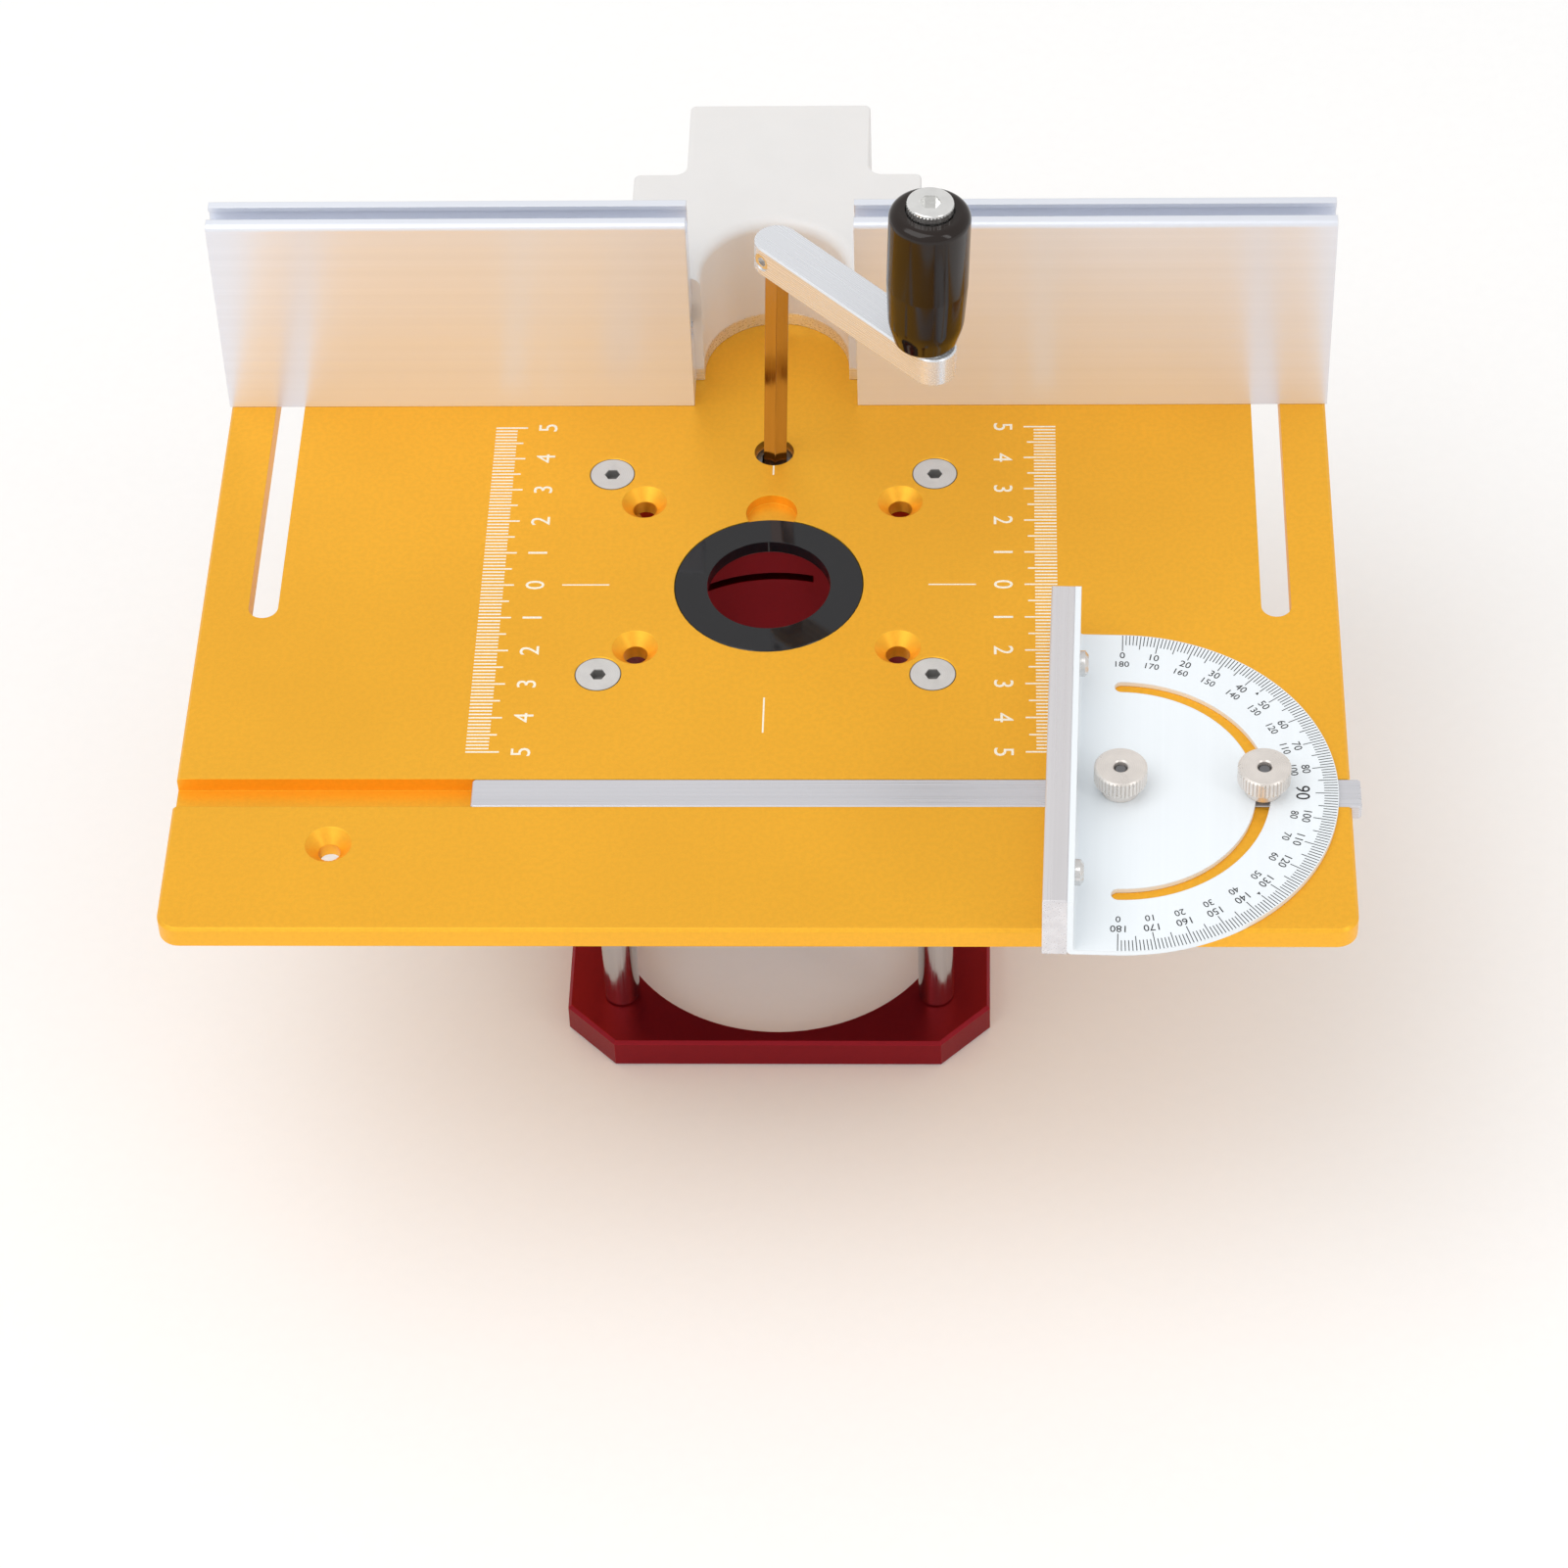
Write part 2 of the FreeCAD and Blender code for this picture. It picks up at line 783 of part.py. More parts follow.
def lift_carriage():
    body = new_body("lift_carriage")
    height = d.carriage_height
    outline = cornered(d.carriage_half_x, d.carriage_front, d.carriage_back, d.carriage_corner)
    pad(body, outline, 0, height)
    lug = rectangle(-d.lug_half, d.lug_half, d.lug_front, d.carriage_front + 2)
    pad(body, lug, 0, height)
    chamfer(body, either(level(0), level(height)), 0.6)
    cut(body, circles((0, 0, d.clamp_radius)), 0, height)
    half_slit = d.slit_width / 2
    cut(body, rectangle(-half_slit, half_slit, d.lug_front - 1, -d.clamp_radius + 2), 0, height)
    for x, y in column_places:
        cut(body, circles((x, y, d.bush_radius)), 0, height)
    cut(body, circles((0, d.screw_offset, d.bush_radius)), 0, height)
    flange_seat = circles((0, d.screw_offset, d.nut_flange + 0.1))
    cut(body, flange_seat, height - d.nut_flange_thick, d.nut_flange_thick)
    bolt_hole = circles((d.lug_bolt_y, height / 2, d.clamp_bolt_shank + 0.07))
    cut(body, bolt_hole, -d.lug_half - 1, d.lug_half * 2 + 2, plane="YZ_Plane")
    relief_slot(body)
    placed(body, z=d.carriage_top - height)
    return keep(body)


def relief_slot(body):
    """The short horizontal slot in the back wall of the motor bore."""
    low = d.carriage_height - 15.0
    slot = rectangle(-17, 8.2, low, low + 2.1)
    cut(body, slot, -d.clamp_radius - 3, 8, plane="XZ_Plane")


def carriage_parts():
    bush = new_body("carriage_bush")
    pad(bush, circles((0, 0, d.bush_radius - 0.01), (0, 0, d.bush_bore)), 0, d.carriage_height)
    carriage_bottom = d.carriage_top - d.carriage_height
    group("carriage_bushes", bush, [(x, y, carriage_bottom) for x, y in column_places])

    nut = flanged_bush("lift_nut", d.bush_bore, d.bush_radius - 0.01, d.nut_flange,
                       d.nut_length - d.nut_flange_thick, d.nut_flange_thick)
    placed(nut, y=d.screw_offset, z=d.carriage_top, rotation=FLIPPED)
    keep(nut)

    bolt = new_body("clamp_bolt")
    head = 6.0
    turned(bolt, [
        (0, head),
        (d.clamp_bolt_head, head),
        (d.clamp_bolt_head, 0),
        (d.clamp_bolt_shank, 0),
        (d.clamp_bolt_shank, -d.clamp_bolt_length),
        (0, -d.clamp_bolt_length),
    ])
    cut(bolt, hexagon(5.0), head - 3.0, 3.0)
    chamfer(bolt, round_at(d.clamp_bolt_head, head), 0.5)
    bolt_height = d.carriage_top - d.carriage_height / 2
    placed(bolt, d.lug_half + 0.05, d.lug_bolt_y, bolt_height, rotation=ALONG_X)
    keep(bolt)


# ---------------------------------------------------------------- crank

def leaned(thing, x, y, z, rotation=None):
    """Puts a crank part at its upright place, tipped towards +X by the play in the hex socket."""
    lean = d.crank_lean
    above = as_size(z) - d.lean_centre
    tipped_x = x * cosine(lean) + above * sine(lean)
    tipped_z = d.lean_centre + above * cosine(lean) - x * sine(lean)
    tip = about((0, 1, 0), lean.value)
    return placed(thing, tipped_x, y, tipped_z, rotation=tip.multiply(rotation or Rotation()))


def crank():
    turn = about((0, 0, 1), d.arm_angle.value)
    shaft = new_body("crank_shaft")
    top = d.arm_top - 1.5
    pad(shaft, hexagon(d.key_size, turn=d.key_turn.value), d.shaft_bottom, top - d.shaft_bottom)
    chamfer(shaft, level(d.shaft_bottom), 0.4)
    keep(leaned(shaft, 0, d.screw_offset, 0))

    arm = new_body("crank_arm")
    radius = d.arm_half_width
    arm_end = d.arm_reach + d.arm_over
    pad(arm, rectangle(0, arm_end, -radius, radius), 0, d.arm_thick)
    pad(arm, circles((0, 0, radius)), 0, d.arm_thick)
    pad(arm, circles((arm_end, 0, radius)), 0, d.arm_thick)
    chamfer(arm, either(level(0), level(d.arm_thick)), 0.35)
    key_turn = d.key_turn.value - d.arm_angle.value
    cut(arm, hexagon(d.key_size + 0.04, turn=key_turn), 0, d.arm_thick - 1.4)
    cut(arm, circles((d.arm_reach, 0, d.grip_bore)), 0, d.arm_thick)
    set_hole = circles((0, d.arm_thick / 2, d.set_screw_radius))
    cut(arm, set_hole, 2, radius, plane="XZ_Plane")
    keep(leaned(arm, 0, d.screw_offset, arm_bottom, rotation=turn))

    grub = new_body("crank_set_screw")
    pad(grub, circles((0, 0, d.set_screw_radius - 0.02)), 0, 1.75)
    cut(grub, hexagon(2.0), 0.5, 1.25)
    side = about((0, 0, 1), d.arm_angle.value - 90).multVec(Vector(2.85, 0, 0))
    aim = Rotation(Vector(0, 0, 1), side)
    keep(leaned(grub, side.x, d.screw_offset + side.y, d.arm_top - d.arm_thick / 2, rotation=aim))
    grip_parts()


def grip_parts():
    x = d.arm_reach * cosine(d.arm_angle)
    y = d.screw_offset + d.arm_reach * sine(d.arm_angle)
    washer_thick = d.grip_washer_thick

    washer = new_body("grip_washer")
    pad(washer, circles((0, 0, d.grip_foot - 0.8), (0, 0, d.grip_bore)), 0, washer_thick)
    keep(leaned(washer, x, y, d.arm_top))

    grip = new_body("crank_grip")
    height, foot, full = d.grip_height, d.grip_foot, d.grip_radius
    head_radius, head_height, head_sink = d.grip_head_radius, d.grip_head_height, d.grip_head_sink
    turned(grip, [
        (d.grip_bore, 0),
        (foot, 0),
        (foot + 1.35, 4.8),
        (full, height * 0.45),
        (full, height),
        (head_radius + 0.35, height),
        (head_radius + 0.35, height - head_sink),
        (d.grip_bore, height - head_sink),
    ])
    fillet(grip, round_at(foot, 0), 0.6)
    fillet(grip, round_at(foot + 1.35, 4.8), 14)
    fillet(grip, round_at(full, height), 2.1)
    grip_seat = d.arm_top + washer_thick + 0.05
    keep(leaned(grip, x, y, grip_seat))

    bolt = new_body("grip_bolt")
    shank = d.grip_bore - 0.06
    reach = d.grip_height - head_sink + washer_thick + d.arm_thick - 1.0
    turned(bolt, [
        (0, head_height),
        (head_radius, head_height),
        (head_radius, 0),
        (shank, 0),
        (shank, -reach),
        (0, -reach),
    ])
    fillet(bolt, round_at(head_radius, head_height), 0.35)
    cut(bolt, hexagon(4.0), head_height - 1.9, 1.9)
    keep(leaned(bolt, x, y, grip_seat + d.grip_height - head_sink + 0.05))


# ---------------------------------------------------------------- fence

def fence_face(label, x_low):
    """An extrusion with a T-groove on top and a bolt slot in its back."""
    body = new_body(label)
    thick, height = d.face_thick, d.face_height
    tee = d.tee_height
    profile = polygon([
        (0, 0),
        (thick, 0),
        (thick, tee - 2.6),
        (thick - 1.9, tee - 2.6),
        (thick - 1.9, tee - 4.3),
        (thick - 5.6, tee - 4.3),
        (thick - 5.6, tee + 4.3),
        (thick - 1.9, tee + 4.3),
        (thick - 1.9, tee + 2.6),
        (thick, tee + 2.6),
        (thick, height),
        (thick - 1.9, height),
        (thick - 1.9, height - 1.1),
        (thick - 1.0, height - 1.1),
        (thick - 1.0, height - 5.6),
        (1.7, height - 5.6),
        (1.7, height - 1.1),
        (2.6, height - 1.1),
        (2.6, height),
        (0, height),
    ])
    pad(body, profile, 0, d.face_length, plane="YZ_Plane")

    def top_front(edge):
        return level(height)(edge) and near(edge.BoundBox.YMax, 0) and near(edge.BoundBox.YMin, 0)

    fillet(body, top_front, 1.3)
    placed(body, x_low, d.fence_front, d.face_play)
    return keep(body)


def fence_base():
    """The angle behind the faces, with the bit relief in its foot."""
    body = new_body("fence_base")
    half_length = d.face_inner + d.face_length
    thick = d.angle_thick
    profile = polygon([
        (0, 0),
        (d.angle_depth, 0),
        (d.angle_depth, thick),
        (thick, thick),
        (thick, d.angle_height),
        (0, d.angle_height),
    ])
    pad(body, profile, -half_length, half_length * 2, plane="YZ_Plane")

    def inner_corner(edge):
        return level(thick)(edge) and near(edge.BoundBox.YMin, thick) and near(edge.BoundBox.YMax, thick)

    fillet(body, inner_corner, 1.5)
    gap = d.bridge_half + 0.7
    window = rectangle(-gap, gap, thick, d.angle_height)
    cut(body, window, -(thick + 2), thick + 3, plane="XZ_Plane")
    cut_relief(body, 0, thick)
    bolt_places = [(side * x, d.tee_height - d.face_play, 2.6)
                   for side in (-1, 1) for x in (d.face_bolt_inner, d.face_bolt_outer)]
    cut(body, circles(*bolt_places), -(thick + 1), thick + 2, plane="XZ_Plane")
    clamp_y = d.fence_bolt_y - angle_front
    cut(body, circles(*[(side * d.slot_offset, clamp_y, 3.1) for side in (-1, 1)]), 0, thick)
    sunk_holes(body, bridge_screw_places(), as_size(4.4), as_size(8.4), upwards=True)
    placed(body, 0, angle_front, d.face_play)
    return keep(body)


def cut_relief(body, low, height):
    """The half-round clearance for the bit, open to the front."""
    radius = d.relief_radius
    cut(body, circles((0, d.relief_offset, radius)), low, height)
    cut(body, rectangle(-radius, radius, -2, d.relief_offset), low, height)


def bridge_screw_places():
    return [(side * 26.5, depth) for side in (-1, 1) for depth in (8.0, 26.0)]


def fence_bridge():
    """The T-shaped block that closes the gap between the faces."""
    body = new_body("fence_bridge")
    half, tail, wall = d.bridge_half, d.tail_half, d.bridge_wall
    depth, full_depth = d.bridge_depth, d.bridge_depth + d.tail_length
    height = d.bridge_top - d.angle_thick
    outline = polygon([
        (-half, 0),
        (half, 0),
        (half, depth),
        (tail, depth),
        (tail, full_depth),
        (-tail, full_depth),
        (-tail, depth),
        (-half, depth),
    ])
    pad(body, outline, 0, height)

    def back_corner(edge):
        return upright(edge) and edge.BoundBox.YMin > 1 and not inner_step(edge)

    def inner_step(edge):
        return upright(edge) and near(edge.BoundBox.YMin, depth) and abs(edge.BoundBox.XMin) < half.value - 1

    def behind_front(edge):
        return level(height)(edge) and edge.BoundBox.YMax > 0.01

    def relief_edge(edge):
        widest = max(-edge.BoundBox.XMin, edge.BoundBox.XMax)
        return behind_front(edge) and widest < d.relief_radius.value + 0.01 and edge.BoundBox.YMax < 20

    def outer_edge(edge):
        return behind_front(edge) and not relief_edge(edge)

    fillet(body, inner_step, 3.0)
    fillet(body, back_corner, 1.4)
    cut_relief(body, 0, height)
    fillet(body, relief_edge, 2.6)
    fillet(body, outer_edge, 0.6)
    main_room = rectangle(-21, 21, 21.9, depth - wall)
    cut(body, main_room, 0, height - wall)
    tail_room = rectangle(wall - tail, tail - wall, depth - wall - 1, full_depth - wall)
    cut(body, tail_room, wall, height - wall * 2)
    cut(body, circles(*[(x, y, 1.7) for x, y in bridge_screw_places()]), 0, 13)
    placed(body, 0, angle_front, d.angle_thick + d.face_play)
    return keep(body)


def bridge_screws():
    screw = new_body("bridge_screw")
    turned(screw, [
        (0, -0.1),
        (4.0, -0.1),
        (1.65, -2.45),
        (1.65, -15),
        (0, -15),
    ])
    cut(screw, hexagon(2.5), -1.9, 1.8)
    places = [(x, angle_front + y, d.face_play) for x, y in bridge_screw_places()]
    group("bridge_screws", screw, places, FLIPPED)


def face_fixings():
    """Hex bolts held in the faces' back slot, with washers and nuts."""
    height = d.tee_height
    across = [side * x for side in (-1, 1) for x in (d.face_bolt_inner, d.face_bolt_outer)]
    head_back = angle_front - d.face_play - 1.95

    bolt = new_body("face_bolt")
    pad(bolt, hexagon(8.0), -3.5, 3.5)
    pad(bolt, circles((0, 0, 2.45)), 0, 12.5)
    chamfer(bolt, round_at(2.45, 12.5), 0.4)
    group("face_bolts", bolt, [(x, head_back, height) for x in across], ALONG_Y)

    washer = new_body("face_washer")
    pad(washer, circles((0, 0, 5.0), (0, 0, 2.6)), 0, 1.0)
    washer_front = angle_front + d.angle_thick
    group("face_washers", washer, [(x, washer_front, height) for x in across], ALONG_Y)

    nut = new_body("face_nut")
    pad(nut, hexagon(8.0), 0, 4.0)
    cut(nut, circles((0, 0, 2.5)), 0, 4.0)
    group("face_nuts", nut, [(x, washer_front + 1.0, height) for x in across], ALONG_Y)


def fence_clamps():
    """Bolts up through the plate's slots, washers, and the clamp knobs."""
    places = [(side * d.slot_offset, d.fence_bolt_y) for side in (-1, 1)]
    under_plate = -(d.plate_thick + 0.05)
    bolt = new_body("fence_clamp_bolt")
    pad(bolt, hexagon(10.0), -4.0, 4.0)
    pad(bolt, circles((0, 0, 2.95)), 0, 23.5)
    chamfer(bolt, round_at(2.95, 23.5), 0.5)
    group("fence_clamp_bolts", bolt, [(x, y, under_plate) for x, y in places])

    washer = new_body("fence_clamp_washer")
    pad(washer, circles((0, 0, 6.4), (0, 0, 3.1)), 0, 1.2)
    washer_low = d.face_play + d.angle_thick
    group("fence_clamp_washers", washer, [(x, y, washer_low) for x, y in places])

    for side, name in zip((-1, 1), ("left", "right")):
        knob = clamp_knob(f"fence_knob_{name}")
        keep(placed(knob, side * d.slot_offset, d.fence_bolt_y, washer_low + 1.25))


def clamp_knob(label):
    """A moulded knob with eight finger hollows and a blind thread."""
    body = new_body(label)
    radius, height = d.knob_radius, d.knob_height
    turned(body, [
        (0, 0),
        (6.2, 0),
        (6.2, 3.5),
        (radius, 5.5),
        (radius, height),
        (0, height),
    ])
    fillet(body, round_at(radius, height), 1.6)
    fillet(body, round_at(radius, 5.5), 0.8)
    hollow = cut(body, circles((radius + 1.6, 0, 3.0)), 3, height)
    around(body, hollow, 8)
    cut(body, circles((0, 0, 3.02)), 0, 14.0)
    return body


# ---------------------------------------------------------------- mitre gauge

def mitre_bar():
    body = new_body("mitre_bar")
    half = d.bar_width / 2
    pad(body, rectangle(0, d.bar_length, -half, half), 0, d.bar_thick)
    chamfer(body, upright, 0.5)
    chamfer(body, level(d.bar_thick), 0.25)
    first = d.pivot_x - d.bar_left
    for x in (first, first + d.arc_radius):
        cut(body, circles((x, 0, d.stud_radius + 0.02)), 0, d.bar_thick)
        cut(body, circles((x, 0, 3.3)), 0, 1.05)
    placed(body, d.bar_left, -d.groove_offset, -d.bar_thick)
    return keep(body)


def mitre_studs():
    """Headed studs pressed up through the bar."""
    stud = new_body("mitre_stud")
    low = -d.bar_thick + 0.02
    turned(stud, [
        (0, low),
        (3.25, low),
        (3.25, low + 1.0),
        (d.stud_radius, low + 1.0),
        (d.stud_radius, d.stud_top - 0.4),
        (d.stud_radius - 0.4, d.stud_top),
        (0, d.stud_top),
    ])
    places = [(d.pivot_x, -d.groove_offset, 0), (d.pivot_x + d.arc_radius, -d.groove_offset, 0)]
    group("mitre_studs", stud, places)


def at_pivot(body, z=0.0):
    """Puts a protractor piece on the pivot, turned to its set angle."""
    return placed(body, d.pivot_x, -d.groove_offset, z, rotation=about((0, 0, 1), d.mitre_set_angle.value))


def protractor_plate():
    """A half-round sheet with a curved slot and a flange bent up along its straight side."""
    body = new_body("protractor_plate")
    radius, thick = d.protractor_radius, d.sheet_thick
    flange_outer = d.flange_inner + d.flange_thick
    pad(body, circles((0, 0, radius)), 0, thick)
    pad(body, rectangle(-flange_outer, 0, -radius, radius), 0, thick)
    cut(body, rectangle(-radius - 2, -flange_outer, -radius - 2, radius + 2), 0, thick)
    pad(body, rectangle(-flange_outer, -d.flange_inner, -radius, radius), 0, d.flange_height)

    def bend(x, z):
        def chosen(edge):
            box = edge.BoundBox
            return level(z)(edge) and near(box.XMin, x) and near(box.XMax, x) and box.YLength > 50
        return chosen

    fillet(body, bend(-flange_outer, 0), 1.1)
    fillet(body, bend(-d.flange_inner, thick), 0.6)
    curved_slot(body, thick)
    cut(body, circles((0, 0, d.stud_radius + 0.06)), 0, thick)
    holes = [(side * d.mitre_screw_y, d.mitre_screw_z, 1.6) for side in (-1, 1)]
    cut(body, circles(*holes), -flange_outer - 1, d.flange_thick + 2, plane="YZ_Plane")
    return keep(at_pivot(body, d.sheet_gap))


def curved_slot(body, thick):
    """The arc slot about the pivot, with round ends."""
    inner = d.arc_radius - d.arc_width / 2
    outer = d.arc_radius + d.arc_width / 2
    section = [(inner, -0.5), (outer, -0.5), (outer, thick + 0.5), (inner, thick + 0.5)]
    turned_cut(body, section, angle=d.arc_half_angle * 2, middle=True)
    x = d.arc_radius * cosine(d.arc_half_angle)
    y = d.arc_radius * sine(d.arc_half_angle)
    cut(body, circles((x, y, d.arc_width / 2), (x, -y, d.arc_width / 2)), 0, thick)


def mitre_fence():
    body = new_body("mitre_fence")
    right = -(d.flange_inner + d.flange_thick)
    left = right - d.mitre_fence_width
    half = d.protractor_radius
    pad(body, rectangle(left, right, -half, half), 0, d.mitre_fence_height)
    chamfer(body, level(d.mitre_fence_height), 0.3)
    holes = [(side * half_way, d.mitre_screw_z - 0.05, 1.5)
             for side, half_way in ((-1, d.mitre_screw_y), (1, d.mitre_screw_y))]
    cut(body, circles(*holes), left + 1.0, d.mitre_fence_width, plane="YZ_Plane")
    return keep(at_pivot(body, d.sheet_gap + 0.05))


def mitre_fence_screws():
    """Pan-head screws through the flange into the fence bar."""
    screw = new_body("mitre_fence_screw")
    turned(screw, [
        (0, 1.8),
        (1.9, 1.8),
        (2.75, 1.1),
        (2.75, 0),
        (1.45, 0),
        (1.45, -4.6),
        (0, -4.6),
    ])
    for x, y in ((1.4, 0.3), (0.3, 1.4)):
        cut(screw, rectangle(-x, x, -y, y), 0.8, 1.2)
    turn = about((0, 0, 1), d.mitre_set_angle.value)
    places = []
    for side in (-1, 1):
        local = Vector(-d.flange_inner.value + 0.01, side * d.mitre_screw_y.value, 0)
        spot = turn.multVec(local)
        places.append((d.pivot_x + spot.x, spot.y - d.groove_offset, d.mitre_screw_z + d.sheet_gap))
    group("mitre_fence_screws", screw, places, turn.multiply(ALONG_X))


def thumb_nut(label, x):
    """A knurled nut with a collar below."""
    body = new_body(label)
    bore, radius = d.stud_radius + 0.06, d.thumb_radius
    collar, low = d.thumb_collar, d.thumb_collar_thick
    top = low + d.thumb_thick
    turned(body, [
        (bore, 0),
        (collar, 0),
        (collar, low),
        (radius - 0.4, low),
        (radius, low + 0.4),
        (radius, top - 0.4),
        (radius - 0.4, top),
        (bore + 0.3, top),
        (bore, top - 0.3),
    ])
    tooth = polygon([(radius - 0.28, 0), (radius + 0.3, -0.36), (radius + 0.3, 0.36)])
    notch = cut(body, tooth, low + 0.1, d.thumb_thick)
    around(body, notch, 40)
    return keep(placed(body, x, -d.groove_offset, sheet_top + 0.05))


# ---------------------------------------------------------------- assembly

def build_everything():
    table_plate()
    insert_ring()
    lift_frame()
    screw_bearings()
    lead_screw()
    screw_collar()
    lift_carriage()
    carriage_parts()
    crank()
    left_end = -(d.face_inner + d.face_length)
    fence_face("fence_face_left", left_end)
    fence_face("fence_face_right", d.face_inner)
    fence_base()
    fence_bridge()
    bridge_screws()
    face_fixings()
    fence_clamps()
    mitre_bar()
    mitre_studs()
    protractor_plate()
    mitre_fence()
    mitre_fence_screws()
    thumb_nut("pivot_knob", d.pivot_x)
    thumb_nut("lock_knob", d.pivot_x + d.arc_radius)
    doc.recompute()


def check_everything():
    """Stops if any object failed, or if any sub-part isn't a sound solid."""
    for thing in doc.Objects:
        if "Invalid" in thing.State or "Error" in thing.State:
            raise RuntimeError(f"{thing.Label} failed: {thing.State}")
    labels = [node.Label for node in nodes]
    if len(set(labels)) != len(labels):
        raise RuntimeError("two sub-parts share a name")
    for node in nodes:
        if node.Shape.isNull() or not node.Shape.isValid() or not node.Shape.Solids:
            raise RuntimeError(f"{node.Label} has no sound solid")


def write_everything():
    os.makedirs("parts", exist_ok=True)
    for node in nodes:
        node.Shape.exportStep(os.path.join("parts", f"{node.Label}.step"))
        print(f"{node.Label}: {len(node.Shape.Solids)} solids, {node.Shape.Volume:.1f} mm3")


build_everything()
check_everything()
write_everything()
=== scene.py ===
import json
import math

import bmesh
import bpy
from mathutils import Matrix, Vector


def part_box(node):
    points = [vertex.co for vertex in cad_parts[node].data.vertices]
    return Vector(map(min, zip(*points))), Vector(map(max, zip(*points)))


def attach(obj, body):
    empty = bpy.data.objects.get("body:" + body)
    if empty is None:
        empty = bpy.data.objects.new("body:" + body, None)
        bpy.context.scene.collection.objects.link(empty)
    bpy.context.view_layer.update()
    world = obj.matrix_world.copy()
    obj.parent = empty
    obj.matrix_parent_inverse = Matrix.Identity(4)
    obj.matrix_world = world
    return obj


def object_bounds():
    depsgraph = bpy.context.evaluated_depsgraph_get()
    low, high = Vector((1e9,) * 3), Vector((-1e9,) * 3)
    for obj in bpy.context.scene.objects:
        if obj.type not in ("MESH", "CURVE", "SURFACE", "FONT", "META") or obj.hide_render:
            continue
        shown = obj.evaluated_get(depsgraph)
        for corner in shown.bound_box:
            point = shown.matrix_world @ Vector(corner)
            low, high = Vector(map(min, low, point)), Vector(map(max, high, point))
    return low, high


# The looks of a bench router table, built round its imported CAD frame.
# Metres, +Z up, +Y towards the fence.

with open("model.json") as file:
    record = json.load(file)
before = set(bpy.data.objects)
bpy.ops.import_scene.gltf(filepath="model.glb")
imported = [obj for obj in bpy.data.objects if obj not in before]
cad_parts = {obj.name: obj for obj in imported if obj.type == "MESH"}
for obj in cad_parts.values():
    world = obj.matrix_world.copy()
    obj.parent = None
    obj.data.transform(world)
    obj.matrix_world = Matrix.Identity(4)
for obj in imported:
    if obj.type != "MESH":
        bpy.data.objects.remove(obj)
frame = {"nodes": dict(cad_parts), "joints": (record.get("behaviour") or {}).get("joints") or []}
cad_low, cad_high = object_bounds()

MM = 0.001
NOISE_ROUGHNESS = 0.55


# ---------------------------------------------------------------- materials

